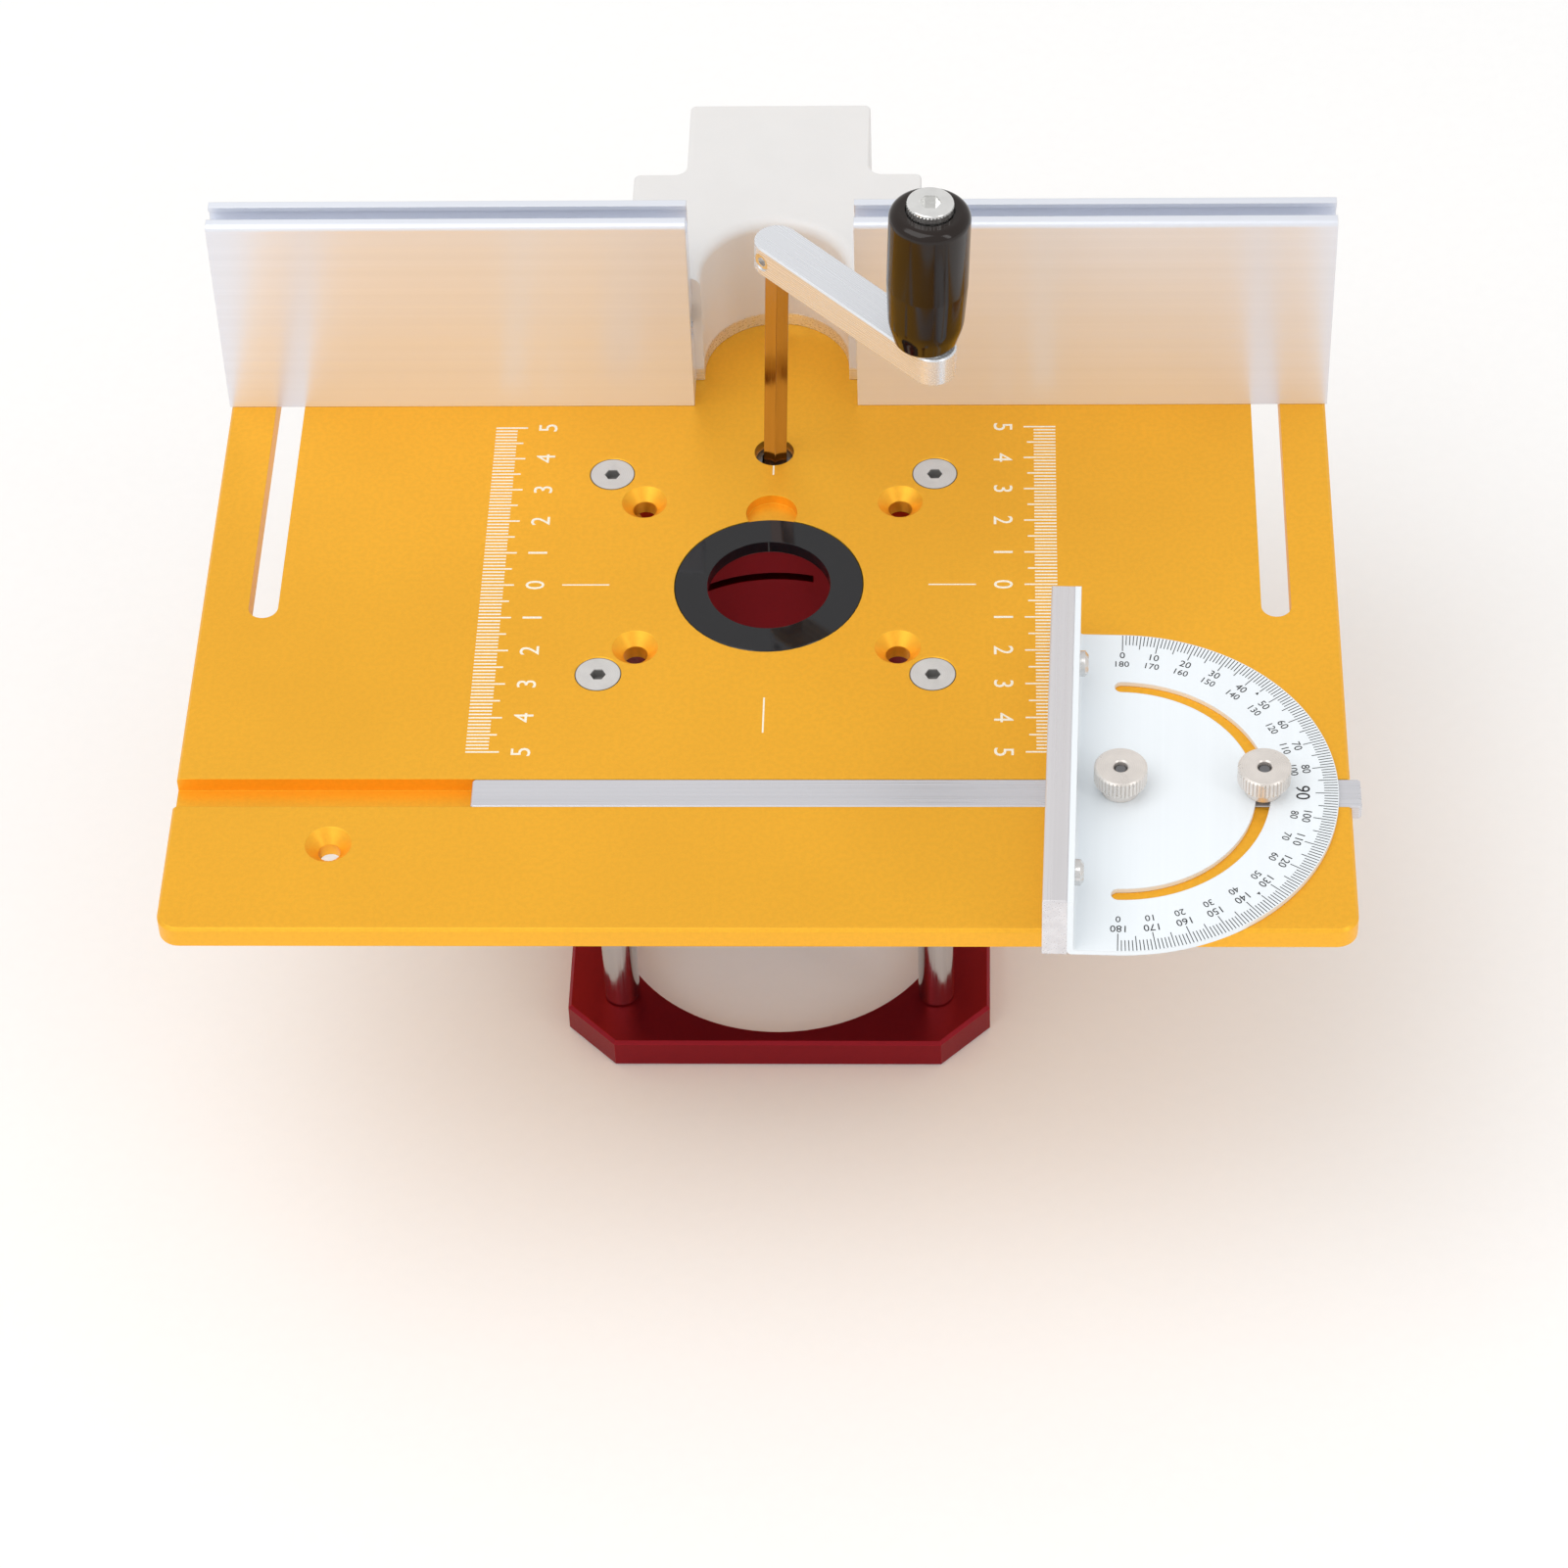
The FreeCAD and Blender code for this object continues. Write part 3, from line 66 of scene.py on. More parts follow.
class Paint:
    """A material's node tree, with one short call for each kind of node."""

    def __init__(self, name):
        self.material = bpy.data.materials.new(name)
        self.material.use_nodes = True
        self.tree = self.material.node_tree
        self.surface = self.tree.nodes["Principled BSDF"]
        self.place = self.node("ShaderNodeTexCoord").outputs["Object"]

    def node(self, kind, inputs=(), **settings):
        node = self.tree.nodes.new(kind)
        for name, value in settings.items():
            setattr(node, name, value)
        for name, value in inputs:
            self.put(node.inputs[name], value)
        return node

    def put(self, socket, value):
        if isinstance(value, bpy.types.NodeSocket):
            self.tree.links.new(value, socket)
        else:
            socket.default_value = value

    def maths(self, operation, first, second=0.0):
        node = self.node("ShaderNodeMath", [(0, first), (1, second)], operation=operation)
        return node.outputs[0]

    def noise(self, per_metre, detail=3.0, turn=0.0):
        """Noise with its own number of features to the metre along each axis, turned about Z."""
        aligned = self.node("ShaderNodeMapping", [("Vector", self.place), ("Rotation", (0, 0, -turn))])
        spread = self.node("ShaderNodeMapping", [("Vector", aligned.outputs[0]), ("Scale", per_metre)])
        inputs = [("Vector", spread.outputs[0]), ("Scale", 1.0), ("Detail", detail),
                  ("Roughness", NOISE_ROUGHNESS)]
        return self.node("ShaderNodeTexNoise", inputs).outputs["Fac"]

    def levels(self, value, low, high, start=0.35, end=0.65):
        """Spreads the part of a value between start and end over low to high."""
        ends = [("From Min", start), ("From Max", end), ("To Min", low), ("To Max", high)]
        return self.node("ShaderNodeMapRange", [("Value", value), *ends], clamp=True).outputs[0]

    def blend(self, share, first, second):
        node = self.node("ShaderNodeMix", data_type="RGBA")
        self.put(node.inputs[0], share)
        self.put(node.inputs[6], first if isinstance(first, bpy.types.NodeSocket) else (*first, 1.0))
        self.put(node.inputs[7], second if isinstance(second, bpy.types.NodeSocket) else (*second, 1.0))
        return node.outputs[2]

    def radius(self, centre, spacing):
        """Distance in plan from the nearest of the points that stand spacing either side of a centre."""
        axes = self.node("ShaderNodeSeparateXYZ", [(0, self.place)]).outputs
        squares = []
        for axis, middle, half in zip(axes, centre, spacing):
            folded = self.maths("ABSOLUTE", self.maths("SUBTRACT", axis, middle))
            offset = self.maths("SUBTRACT", folded, half)
            squares.append(self.maths("MULTIPLY", offset, offset))
        return self.maths("SQRT", self.maths("ADD", *squares))

    def rings(self, radius, pitch):
        """Rings, from 0 to 1, that follow a radius."""
        wave = self.maths("SINE", self.maths("MULTIPLY", radius, math.tau / pitch))
        return self.maths("MULTIPLY", self.maths("ADD", wave, 1.0), 0.5)

    def below(self, height, fade=0.2 * MM):
        """0 above a height and 1 once a point is a fade's depth under it."""
        height_here = self.node("ShaderNodeSeparateXYZ", [(0, self.place)]).outputs[2]
        return self.levels(height_here, 1.0, 0.0, height - fade, height)

    def rounded(self, radius):
        return self.node("ShaderNodeBevel", [("Radius", radius)], samples=4).outputs[0]

    def edges(self, radius):
        """1 on the outline edges and 0 on flat faces."""
        true_normal = self.node("ShaderNodeNewGeometry").outputs["Normal"]
        inputs = [(0, self.rounded(radius)), (1, true_normal)]
        likeness = self.node("ShaderNodeVectorMath", inputs, operation="DOT_PRODUCT").outputs["Value"]
        return self.levels(likeness, 1.0, 0.0, 0.80, 0.995)

    def bump(self, height, depth, strength=1.0, under=None):
        inputs = [("Height", height), ("Distance", depth), ("Strength", strength)]
        if under is not None:
            inputs.append(("Normal", under))
        return self.node("ShaderNodeBump", inputs).outputs[0]

    def finish(self, **inputs):
        for name, value in inputs.items():
            self.put(self.surface.inputs[name.replace("_", " ")], value)
        return self.material


def scaled(colour, share):
    return tuple(min(1.0, channel * share) for channel in colour)


def whole(colour):
    return (*colour, 1.0)


EVEN = (1.0, 1.0, 1.0)
SMEAR_SHARE = 0.85
# Painted shade on plated hardware: its tone, and its strength at a head's rim and in a recess.
SHADE_TONE = 0.10
RIM_SHADE = 0.90
RIM_FADE = 0.06 * MM
RECESS_SHADE = 0.62
LATHE_PITCH = 0.45 * MM


def per_metre(count, shape=EVEN):
    return tuple(count * share for share in shape)


def anodised(name, colour, metallic, rough=(0.36, 0.48), edge_wear_and_highlight=1.5):
    """Bead-blasted and dyed: a fine even grain, faint clouds, and paler edges, partly wear and partly a
    painted highlight.
    """
    paint = Paint(name)
    grain = paint.noise(per_metre(2600), 2.0)
    speck = paint.noise(per_metre(900), 3.0)
    cloud = paint.noise(per_metre(14), 3.0)
    body = paint.blend(paint.levels(cloud, 0.0, 1.0), scaled(colour, 0.955), scaled(colour, 1.03))
    body = paint.blend(paint.levels(speck, 0.0, 0.30, 0.4, 0.6), body, scaled(colour, 0.84))
    body = paint.blend(paint.levels(grain, 0.0, 0.20, 0.45, 0.62), body, scaled(colour, 1.28))
    # Paler edges: partly wear, partly a painted highlight.
    edge_wear_and_highlight_mask = paint.maths("MULTIPLY", paint.edges(0.25 * MM), 0.55)
    body = paint.blend(edge_wear_and_highlight_mask, body, scaled(colour, edge_wear_and_highlight))
    normal = paint.bump(grain, 0.012 * MM, 0.6, under=paint.rounded(0.2 * MM))
    return paint.finish(Base_Color=body, Metallic=metallic, Roughness=paint.levels(grain, *rough),
                        Normal=normal)


def drawn(name, colour, along, metallic=0.6, rough=(0.2, 0.34), contrast=0.10, turn=0.0, depth=0.010,
          smear=None):
    """Extruded or brushed metal with die lines along one axis.

    Depth is the lines' own, in millimetres. Smear is a direction across the lines, along which
    reflections spread.
    """
    paint = Paint(name)
    fine = paint.noise(per_metre(2400, along), 2.0, turn)
    broad = paint.noise(per_metre(420, along), 3.0, turn)
    cloud = paint.noise(per_metre(20), 2.0)
    dark, light = scaled(colour, 1.0 - contrast), scaled(colour, 1.0 + contrast / 2)
    body = paint.blend(paint.levels(broad, 0.0, 1.0), dark, light)
    body = paint.blend(paint.levels(fine, 0.0, 0.5), body, scaled(colour, 1.0 - contrast * 0.8))
    body = paint.blend(paint.levels(cloud, 0.0, 0.35), body, scaled(colour, 0.94))
    # Painted highlight: the edges are lightened.
    bright = paint.maths("MULTIPLY", paint.edges(0.3 * MM), 0.5)
    body = paint.blend(bright, body, scaled(colour, 1.25))
    height = paint.maths("ADD", fine, paint.maths("MULTIPLY", broad, 0.6))
    normal = paint.bump(height, depth * MM, 0.5, under=paint.rounded(0.25 * MM))
    if smear is not None:
        across = paint.node("ShaderNodeCombineXYZ", enumerate(smear)).outputs[0]
        paint.finish(Anisotropic=SMEAR_SHARE, Tangent=across)
    return paint.finish(Base_Color=body, Metallic=metallic, Roughness=paint.levels(fine, *rough),
                        Normal=normal)


def plated(name, colour, rough=(0.16, 0.30), metallic=0.85, turned_about=None, dark_from=None,
           dark_below=None):
    """Small plated hardware: soft stains, tiny pits, edges lightened as a painted highlight, and lathe
    rings where it was turned.

    A turned piece gets painted shade outside the radius dark_from, where it meets its seat. Any piece
    gets painted shade in its recess, under the height dark_below.
    """
    paint = Paint(name)
    stain = paint.noise(per_metre(260), 3.0)
    pits = paint.noise(per_metre(5200), 2.0)
    body = paint.blend(paint.levels(stain, 0.0, 1.0), scaled(colour, 0.94), scaled(colour, 1.03))
    body = paint.blend(paint.levels(pits, 0.0, 0.10, 0.5, 0.66), body, scaled(colour, 0.7))
    height = pits
    if turned_about is not None:
        radius = paint.radius(*turned_about)
        rings = paint.rings(radius, LATHE_PITCH)
        body = paint.blend(paint.maths("MULTIPLY", rings, 0.16), body, scaled(colour, 0.72))
        height = paint.maths("ADD", pits, paint.maths("MULTIPLY", rings, 0.7))
    # Painted highlight: the edges are lightened.
    body = paint.blend(paint.maths("MULTIPLY", paint.edges(0.15 * MM), 0.5), body, scaled(colour, 1.3))
    # Painted shade: the rim where a head meets its seat, and its recess, are darkened.
    painted_shade = scaled(colour, SHADE_TONE)
    if dark_from is not None:
        rim = paint.levels(radius, 0.0, RIM_SHADE, dark_from, dark_from + RIM_FADE)
        body = paint.blend(rim, body, painted_shade)
    if dark_below is not None:
        recess = paint.maths("MULTIPLY", paint.below(dark_below), RECESS_SHADE)
        body = paint.blend(recess, body, painted_shade)
    normal = paint.bump(height, 0.006 * MM, 0.5, under=paint.rounded(0.12 * MM))
    return paint.finish(Base_Color=body, Metallic=metallic, Roughness=paint.levels(stain, *rough),
                        Normal=normal)


def moulded(name, colour, rough, grain_depth, bleed=0.0, patchy=0.06, shine=0.5):
    """Plastic with a light moulded texture and handling smears in its gloss."""
    paint = Paint(name)
    grain = paint.noise(per_metre(3000), 2.0)
    smear = paint.noise(per_metre(90), 4.0)
    dark, light = scaled(colour, 1.0 - patchy), scaled(colour, 1.0 + patchy / 2)
    body = paint.blend(paint.levels(smear, 0.0, 1.0), dark, light)
    body = paint.blend(paint.levels(grain, 0.0, 0.15), body, scaled(colour, 1.0 - 2 * patchy))
    normal = paint.bump(grain, grain_depth, 0.5, under=paint.rounded(0.2 * MM))
    return paint.finish(Base_Color=body, Roughness=paint.levels(smear, *rough), Normal=normal,
                        Specular_IOR_Level=shine, Subsurface_Weight=bleed,
                        Subsurface_Radius=(1.0, 0.9, 0.8), Subsurface_Scale=1.5 * MM)


def printed(name, colour, rough):
    """Ink or a laser mark: slightly patchy, with a powdery surface."""
    paint = Paint(name)
    patch = paint.noise(per_metre(3500), 3.0)
    body = paint.blend(paint.levels(patch, 0.0, 1.0), scaled(colour, 0.84), scaled(colour, 1.06))
    normal = paint.bump(patch, 0.005 * MM, 0.4)
    return paint.finish(Base_Color=body, Roughness=paint.levels(patch, rough - 0.06, rough + 0.06),
                        Normal=normal)


# How closely noise is packed along X, Y and Z. The small share is the axis that the lines run along.
ALONG_X = (0.004, 1.0, 1.0)
ALONG_Y = (1.0, 0.004, 1.0)
ALONG_Z = (1.0, 1.0, 0.004)
DIE_LINES = (0.0012, 1.0, 1.0)

ACROSS_FENCE = (0.0, 0.6, 0.8)
CRANK_TURN = math.radians(-44.4)
GAUGE_TURN = math.radians(-1.7)

GOLD = (0.98, 0.475, 0.030)
RED = (0.27, 0.0085, 0.017)
SILVER = (0.80, 0.80, 0.82)


def centres_of(*names, radius):
    """The middle and half spacing, in X and Y, of like round pieces placed evenly about a centre."""
    boxes = [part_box(name) for name in names]
    low = [min(box[0][axis] for box in boxes) for axis in (0, 1)]
    high = [max(box[1][axis] for box in boxes) for axis in (0, 1)]
    centre = [(least + most) / 2 for least, most in zip(low, high)]
    spacing = [(most - least) / 2 - radius for least, most in zip(low, high)]
    return centre, spacing


# Painted shade starts this far under the plate's top, and this far in from a sunk head's edge.
RECESS_RIM = 0.35 * MM
SEAT_LINE = 0.20 * MM

PLATE_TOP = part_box("table_plate")[1].z
SUNK_HEAD_RADIUS = 4.9 * MM
THUMB_RADIUS = 5.5 * MM


def sheet_and_bar_metals():
    return {
        "plate": anodised("gold_anodised", GOLD, 0.62),
        "lift": anodised("red_anodised", RED, 0.80, rough=(0.30, 0.42), edge_wear_and_highlight=2.6),
        "fence_face": drawn("fence_aluminium", (0.84, 0.87, 0.95), DIE_LINES, 0.52, (0.32, 0.38), 0.03,
                            depth=0.002, smear=ACROSS_FENCE),
        "angle": drawn("angle_aluminium", SILVER, ALONG_X, 0.65, (0.25, 0.38)),
        "bar": drawn("bar_aluminium", (0.69, 0.69, 0.73), ALONG_X, 0.55, (0.26, 0.40), 0.12),
        "gauge_fence": drawn("gauge_aluminium", (0.78, 0.76, 0.78), ALONG_Y, 0.55, (0.26, 0.40), 0.14,
                             GAUGE_TURN),
        "protractor": drawn("protractor_satin", (0.90, 0.95, 0.99), ALONG_Y, 0.12, (0.32, 0.42), 0.02,
                            GAUGE_TURN),
        "arm": drawn("crank_aluminium", (0.78, 0.80, 0.84), ALONG_X, 0.50, (0.26, 0.28), 0.010,
                     CRANK_TURN, depth=0.0004),
        "rod": drawn("ground_steel", (0.54, 0.54, 0.56), ALONG_Z, 1.0, (0.10, 0.22), 0.10),
        "shaft": drawn("hex_steel", (0.42, 0.31, 0.27), ALONG_Z, 1.0, (0.10, 0.18), 0.12),
    }


def hardware_metals():
    sunk_heads = centres_of("column_screws", radius=SUNK_HEAD_RADIUS)
    thumb_nuts = centres_of("pivot_knob", "lock_knob", radius=THUMB_RADIUS)
    return {
        "hardware": plated("plated_steel", (0.74, 0.73, 0.72)),
        # The sunk screws get painted shade round their heads' rims and in their recesses.
        "screw": plated("faced_steel", (0.68, 0.665, 0.65), (0.46, 0.56), 0.4, sunk_heads,
                        dark_from=SUNK_HEAD_RADIUS - SEAT_LINE, dark_below=PLATE_TOP - RECESS_RIM),
        "bright": plated("bright_plating", (0.86, 0.86, 0.85), (0.06, 0.16), 0.95),
        "knob": plated("nickel_plated", (0.82, 0.765, 0.72), (0.26, 0.40), 0.6, thumb_nuts),
        "dark": plated("oiled_steel", (0.20, 0.20, 0.21), (0.22, 0.40)),
        "bronze": plated("bronze", (0.66, 0.42, 0.17), (0.26, 0.42)),
    }


def plastics_and_inks():
    return {
        "ring": moulded("ring_gloss", (0.010, 0.010, 0.012), (0.03, 0.07), 0.002 * MM, shine=0.42),
        "bridge": moulded("milky_plastic", (0.79, 0.775, 0.765), (0.34, 0.40), 0.003 * MM, bleed=0.12,
                          patchy=0.012),
        "grip": moulded("grip_plastic", (0.013, 0.007, 0.005), (0.09, 0.14), 0.002 * MM, shine=0.36),
        "clamp": moulded("knob_plastic", (0.018, 0.018, 0.019), (0.34, 0.48), 0.015 * MM),
        "etched": printed("etched_marks", (0.96, 0.90, 0.74), 0.6),
        "ink": printed("black_ink", (0.006, 0.006, 0.008), 0.5),
    }


def make_materials():
    return {**sheet_and_bar_metals(), **hardware_metals(), **plastics_and_inks()}


NODE_FINISH = {
    "plate": ["table_plate"],
    "lift": ["lift_base_plate", "lift_carriage"],
    "fence_face": ["fence_face_left", "fence_face_right"],
    "angle": ["fence_base"],
    "bar": ["mitre_bar"],
    "gauge_fence": ["mitre_fence"],
    "protractor": ["protractor_plate"],
    "arm": ["crank_arm"],
    "rod": ["guide_columns"],
    "shaft": ["crank_shaft"],
    "screw": ["column_screws"],
    "knob": ["pivot_knob", "lock_knob"],
    "bright": ["grip_bolt", "grip_washer"],
    "dark": ["lead_screw", "screw_collar", "screw_clip", "mitre_studs"],
    "bronze": ["upper_bush", "thrust_bush", "carriage_bushes", "lift_nut"],
    "ring": ["insert_ring"],
    "bridge": ["fence_bridge"],
    "grip": ["crank_grip"],
    "clamp": ["fence_knob_left", "fence_knob_right"],
}
SMOOTH_ANGLE = math.radians(32)


def smooth(mesh):
    """Curved faces shade smoothly, and edges sharper than the limit stay crisp."""
    mesh.shade_smooth()
    mesh.set_sharp_from_angle(angle=SMOOTH_ANGLE)


def dress_nodes(paints):
    chosen = {node: finish for finish, members in NODE_FINISH.items() for node in members}
    for name, piece in frame["nodes"].items():
        piece.data.materials.clear()
        piece.data.materials.append(paints[chosen.get(name, "hardware")])
        smooth(piece.data)


# ---------------------------------------------------------------- printed marks

class Marks:
    """Thin raised marks that share one mesh, each a closed solid standing on a flat face."""

    thick = 0.035 * MM
    sunk = 0.015 * MM

    def __init__(self, surface, turn=0.0, centre=(0.0, 0.0)):
        self.mesh = bmesh.new()
        self.base = Matrix.Translation((*centre, surface - self.sunk)) @ Matrix.Rotation(turn, 4, "Z")
        self.tall = self.thick + self.sunk

    def prism(self, outline):
        """A closed prism on an outline given anticlockwise."""
        low = [self.mesh.verts.new(self.base @ Vector((x, y, 0))) for x, y in outline]
        high = [self.mesh.verts.new(self.base @ Vector((x, y, self.tall))) for x, y in outline]
        self.mesh.faces.new(high)
        self.mesh.faces.new(low[::-1])
        for index in range(len(outline)):
            following = (index + 1) % len(outline)
            self.mesh.faces.new((low[index], low[following], high[following], high[index]))

    def line(self, start, end, width):
        start, end = Vector(start), Vector(end)
        along = (end - start).normalized()
        side = Vector((-along.y, along.x)) * width / 2
        self.prism([start - side, end - side, end + side, start + side])

    def text(self, words, place, height, turn):
        """Upright figures centred on a place, turned about Z."""
        glyph = figure_mesh(words)
        size = Matrix.Diagonal((height, height, self.tall, 1.0))
        spot = Matrix.Translation((*place, 0)) @ Matrix.Rotation(turn, 4, "Z")
        glyph.transform(self.base @ spot @ size)
        self.mesh.from_mesh(glyph)
        bpy.data.meshes.remove(glyph)

    def finish(self, name, body, slot, material):
        return ridden_piece(name, self.mesh, body, material)


def ridden_piece(name, built, body, material):
    """Turns a built mesh into a piece that moves with a body."""
    mesh = bpy.data.meshes.new(name)
    built.to_mesh(mesh)
    built.free()
    mesh.materials.clear()
    mesh.materials.append(material)
    piece = bpy.data.objects.new(name, mesh)
    bpy.context.scene.collection.objects.link(piece)
    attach(piece, body)
    return piece


def figure_mesh(words):
    """Solid figures one unit high and one unit thick, centred on the origin."""
    curve = bpy.data.curves.new("figures", "FONT")
    curve.body = words
    curve.extrude = 0.5
    curve.resolution_u = 3
    holder = bpy.data.objects.new("figures", curve)
    mesh = bpy.data.meshes.new_from_object(holder)
    bpy.data.objects.remove(holder)
    bpy.data.curves.remove(curve)
    corners = [vertex.co for vertex in mesh.vertices]
    low = Vector([min(corner[axis] for corner in corners) for axis in range(3)])
    high = Vector([max(corner[axis] for corner in corners) for axis in range(3)])
    middle = (low + high) / 2
    tall = high.y - low.y
    to_origin = Matrix.Translation((-middle.x, -middle.y, -low.z))
    mesh.transform(Matrix.Diagonal((1 / tall, 1 / tall, 1.0, 1.0)) @ to_origin)
    return mesh


# A ladder of ticks lists the longest first, as (every so many steps, the tick's inner end).
RULER_OUTER = 62.1 * MM
RULER_TICKS = ((10, 55.05 * MM), (5, 55.8 * MM), (1, 57.3 * MM))
RULER_HALF = 50
RULER_FIGURE_X = 50.5 * MM
RULER_FIGURE_HEIGHT = 4.1 * MM
RULER_LINE = 0.42 * MM
CROSS_LINE = 0.35 * MM
CROSS_X = (34.4 * MM, 44.6 * MM)
CROSS_Y = (34.1 * MM, 44.4 * MM)
CROSS_BACK = (34.6 * MM, 37.55 * MM)


def tick_end(step, ladder):
    """Where the tick at a step ends, from its ladder of ticks."""
    return next(end for every, end in ladder if step % every == 0)


def plate_marks(material):
    marks = Marks(PLATE_TOP)
    for side in (-1, 1):
        for step in range(-RULER_HALF, RULER_HALF + 1):
            inner = tick_end(step, RULER_TICKS)
            marks.line((side * inner, step * MM), (side * RULER_OUTER, step * MM), RULER_LINE)
        for step in range(-RULER_HALF, RULER_HALF + 1, 10):
            place = (side * RULER_FIGURE_X, step * MM)
            marks.text(str(abs(step) // 10), place, RULER_FIGURE_HEIGHT, -side * math.pi / 2)
        marks.line((side * CROSS_X[0], 0), (side * CROSS_X[1], 0), CROSS_LINE)
    marks.line((0, -CROSS_Y[1]), (0, -CROSS_Y[0]), CROSS_LINE)
    marks.line((0, CROSS_BACK[0]), (0, CROSS_BACK[1]), CROSS_LINE)
    return marks.finish("plate_marks", "table", "gold_anodised", material)


SHEET_THICK = 1.2 * MM
SCALE_EDGE = 44.8 * MM
SCALE_TICKS = ((10, 40.2 * MM), (5, 40.9 * MM), (1, 42.0 * MM))
SCALE_LINE = 0.17 * MM
RIGHT_ANGLE_FIGURE = 2.9 * MM
HALF_RIGHT = (45, 135)
POINTER = 0.75 * MM
POINTER_GAP = 0.3 * MM
# Each row of figures is (radius, height).
OUTER_FIGURES = (38.9 * MM, 1.75 * MM)
INNER_FIGURES = (36.3 * MM, 1.6 * MM)


def polar(radius, bearing):
    """A point at a clockwise bearing from the gauge's +Y axis."""
    angle = math.radians(bearing)
    return Vector((radius * math.sin(angle), radius * math.cos(angle)))


def protractor_scale(material):
    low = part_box("protractor_plate")[0]
    pivot_low, pivot_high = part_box("pivot_knob")
    pivot = (pivot_low + pivot_high) / 2
    marks = Marks(low.z + SHEET_THICK, GAUGE_TURN, (pivot.x, pivot.y))
    for degree in range(181):
        marks.line(polar(tick_end(degree, SCALE_TICKS), degree), polar(SCALE_EDGE, degree), SCALE_LINE)
    for degree in range(0, 181, 10):
        scale_figures(marks, degree)
    for degree in HALF_RIGHT:
        pointer(marks, degree)
    return marks.finish("protractor_scale", "protractor", "silver_aluminium", material)


def scale_figures(marks, degree):
    """Both rows of figures at one bearing. The rows agree at 90, so it has a single large figure."""
    turn = -math.radians(degree)
    if degree == 90:
        middle = (OUTER_FIGURES[0] + INNER_FIGURES[0]) / 2
        marks.text("90", polar(middle, degree), RIGHT_ANGLE_FIGURE, turn)
        return
    marks.text(str(degree), polar(OUTER_FIGURES[0], degree), OUTER_FIGURES[1], turn)
    marks.text(str(180 - degree), polar(INNER_FIGURES[0], degree), INNER_FIGURES[1], turn)


def pointer(marks, degree):
    """A small triangle pointing out at the scale."""
    _, half_tick_end = SCALE_TICKS[1]
    tip = polar(half_tick_end - POINTER_GAP, degree)
    inward = polar(POINTER, degree + 180)
    side = Vector((-inward.y, inward.x)) / 2
    marks.prism([tip, tip + inward + side, tip + inward - side])


# ---------------------------------------------------------------- knurled head of the grip's bolt

# The band's ends are depths below the head's end. Sunk, valley and crest are from the head's radius.
KNURL_RIDGES = 40
RIDGE_CORNERS = 4
KNURL_BAND = (0.45 * MM, 2.15 * MM)
KNURL_VALLEY = -0.02 * MM
KNURL_CREST = 0.10 * MM
KNURL_SUNK = -0.25 * MM
KNURL_CHAMFER = 0.15 * MM
BOLT_HEAD_RADIUS = 4.8 * MM


def joint_line(joint_id):
    """A point on a joint's axis and the axis's direction."""
    joint = next(joint for joint in frame["joints"] if joint["name"] == joint_id)
    return Vector(joint["pos_m"]), Vector(joint["axis"]).normalized()


def knurl_rings():
    """The band's closed section as (height below the head's end, radius of valley, radius of crest)."""
    high, low = KNURL_BAND
    inner = (BOLT_HEAD_RADIUS + KNURL_SUNK,) * 2
    edge = (BOLT_HEAD_RADIUS + KNURL_SUNK / 2,) * 2
    full = (BOLT_HEAD_RADIUS + KNURL_VALLEY, BOLT_HEAD_RADIUS + KNURL_CREST)
    return [
        (low, *inner),
        (low, *edge),
        (low - KNURL_CHAMFER, *full),
        (high + KNURL_CHAMFER, *full),
        (high, *edge),
        (high, *inner),
    ]


def knurl_band():
    """A closed band of straight ridges round the Z axis, hanging from the origin."""
    band = bmesh.new()
    corners = KNURL_RIDGES * RIDGE_CORNERS
    rings = []
    for below, valley, crest in knurl_rings():
        ring = []
        for index in range(corners):
            angle = math.tau * index / corners
            radius = crest if index % RIDGE_CORNERS in (1, 2) else valley
            ring.append(band.verts.new((radius * math.cos(angle), radius * math.sin(angle), -below)))
        rings.append(ring)
    for lower, upper in zip(rings, rings[1:] + rings[:1]):
        for index in range(corners):
            following = (index + 1) % corners
            band.faces.new((lower[index], lower[following], upper[following], upper[index]))
    bmesh.ops.recalc_face_normals(band, faces=band.faces)
    return band


def grip_bolt_knurl(material):
    """The ridges round the grip bolt's head, square to the grip's axis."""
    point, axis = joint_line("grip_spin")
    rise = math.sqrt(1 - axis.z ** 2) * BOLT_HEAD_RADIUS
    head_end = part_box("grip_bolt")[1].z - rise
    centre = point + axis * ((head_end - point.z) / axis.z)
    tip = Vector((0, 0, 1)).rotation_difference(axis).to_matrix().to_4x4()
    band = knurl_band()
    band.transform(Matrix.Translation(centre) @ tip)
    return ridden_piece("grip_bolt_knurl", band, "crank", material)


# ---------------------------------------------------------------- floor, lights and camera

FLOOR_SIZE = 6.0
FLOOR_COLOUR = (0.93, 0.93, 0.93)
FLOOR_GLOW = 0.06
WORLD_COLOUR = (1.0, 0.995, 0.985)
WORLD_STRENGTH = 0.78


def make_floor(height):
    half = FLOOR_SIZE / 2
    mesh = bpy.data.meshes.new("floor")
    corners = [(-half, -half, height), (half, -half, height), (half, half, height), (-half, half, height)]
    mesh.from_pydata(corners, [], [(0, 1, 2, 3)])
    floor = bpy.data.objects.new("floor", mesh)
    bpy.context.scene.collection.objects.link(floor)
    paint = Paint("floor_paper")
    fibre = paint.noise(per_metre(300), 3.0)
    body = paint.blend(paint.levels(fibre, 0.0, 1.0), scaled(FLOOR_COLOUR, 0.99), FLOOR_COLOUR)
    mesh.materials.append(paint.finish(Base_Color=body, Roughness=0.9, Emission_Color=whole(FLOOR_COLOUR),
                                       Emission_Strength=FLOOR_GLOW))


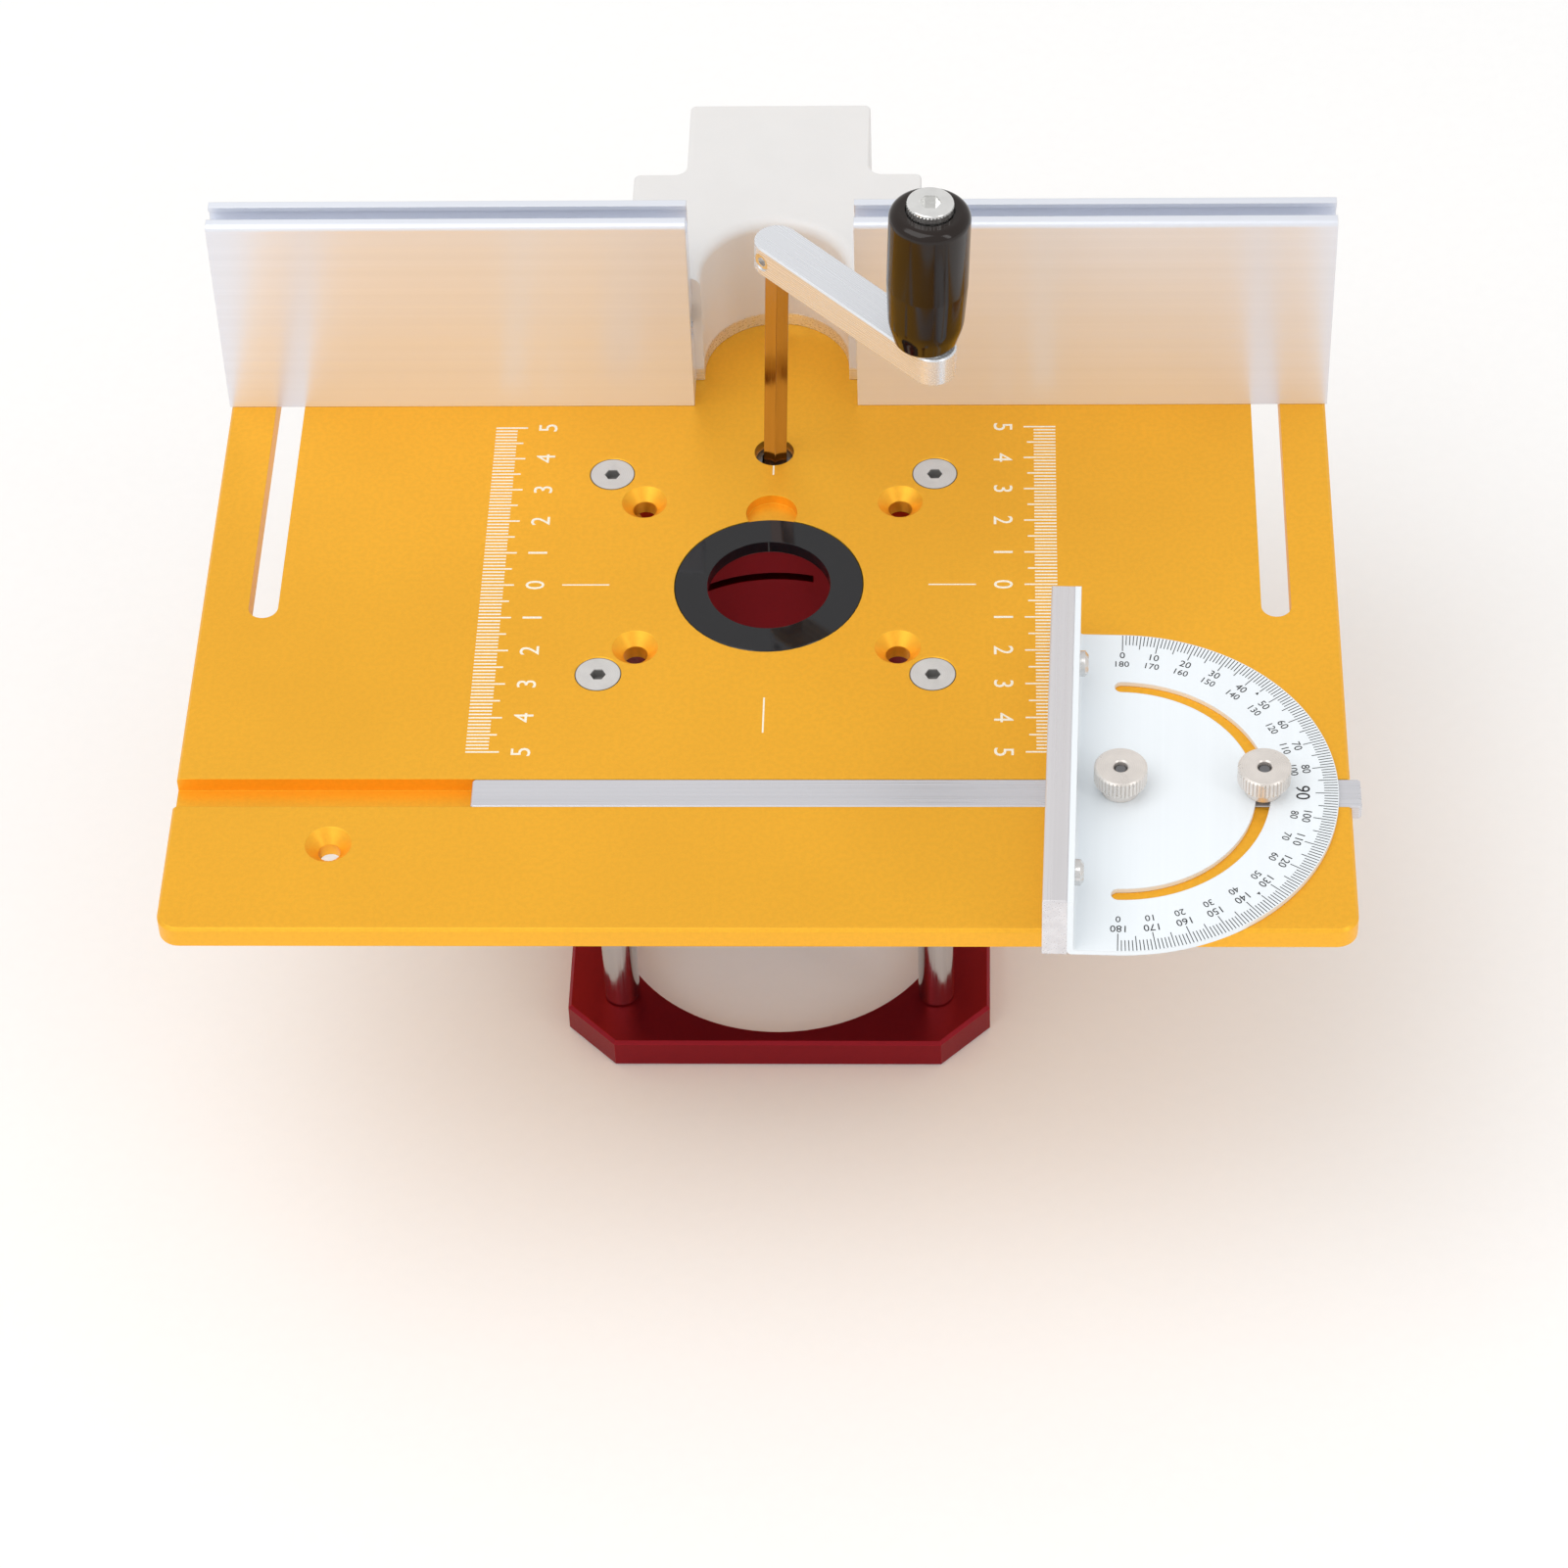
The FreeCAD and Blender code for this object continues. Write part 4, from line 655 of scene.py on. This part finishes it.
def make_world():
    world = bpy.data.worlds.new("studio")
    bpy.context.scene.world = world
    world.use_nodes = True
    background = world.node_tree.nodes["Background"]
    background.inputs["Color"].default_value = whole(WORLD_COLOUR)
    background.inputs["Strength"].default_value = WORLD_STRENGTH


KEY_PLACE = (-0.6, -0.5, 1.5)
KEY_SIZE = (1.4, 1.4)
KEY_WATTS = 11.0
FILL_PLACE = (1.2, -0.9, 0.9)
FILL_SIZE = (0.3, 1.4)
FILL_WATTS = 3.0


def area_light(name, place, size, watts):
    """A rectangular light aimed at the bit's opening, which is the origin."""
    light = bpy.data.lights.new(name, "AREA")
    light.shape = "RECTANGLE"
    light.size, light.size_y = size
    light.energy = watts
    holder = bpy.data.objects.new(name, light)
    bpy.context.scene.collection.objects.link(holder)
    holder.location = place
    holder.rotation_mode = "QUATERNION"
    holder.rotation_quaternion = (-Vector(place)).to_track_quat("-Z", "Y")


CAMERA_PLACE = (0.0470, -0.7965, 0.77626)
CAMERA_ELEVATION = math.radians(46.4285)
CAMERA_YAW = math.radians(-3.2693)
CAMERA_ROLL = math.radians(-2.3725)
CAMERA_LENS_MM = 118.55
SENSOR_MM = 36.0


def make_camera():
    """A long lens in front of the table and above it, turned and rolled a few degrees."""
    level_forward = Matrix(((1, 0, 0), (0, 0, -1), (0, 1, 0)))
    tilt = Matrix.Rotation(CAMERA_ELEVATION, 3, "X")
    roll = Matrix.Rotation(CAMERA_ROLL, 3, "Z")
    yaw = Matrix.Rotation(CAMERA_YAW, 3, "Z")
    to_camera = roll @ tilt @ level_forward @ yaw
    facing = to_camera.transposed() @ Matrix.Diagonal((1, -1, -1))
    data = bpy.data.cameras.new("camera")
    data.lens = CAMERA_LENS_MM
    data.sensor_width = SENSOR_MM
    data.clip_start = 0.01
    camera = bpy.data.objects.new("camera", data)
    bpy.context.scene.collection.objects.link(camera)
    camera.matrix_world = Matrix.Translation(CAMERA_PLACE) @ facing.to_4x4()
    bpy.context.scene.camera = camera


def make_studio():
    make_floor(cad_low.z)
    make_world()
    area_light("key", KEY_PLACE, KEY_SIZE, KEY_WATTS)
    area_light("fill", FILL_PLACE, FILL_SIZE, FILL_WATTS)
    make_camera()
    bpy.context.scene.view_settings.view_transform = "Standard"


# ---------------------------------------------------------------- build


def main():
    paints = make_materials()
    dress_nodes(paints)
    plate_marks(paints["etched"])
    protractor_scale(paints["ink"])
    grip_bolt_knurl(paints["bright"])
    make_studio()


main()
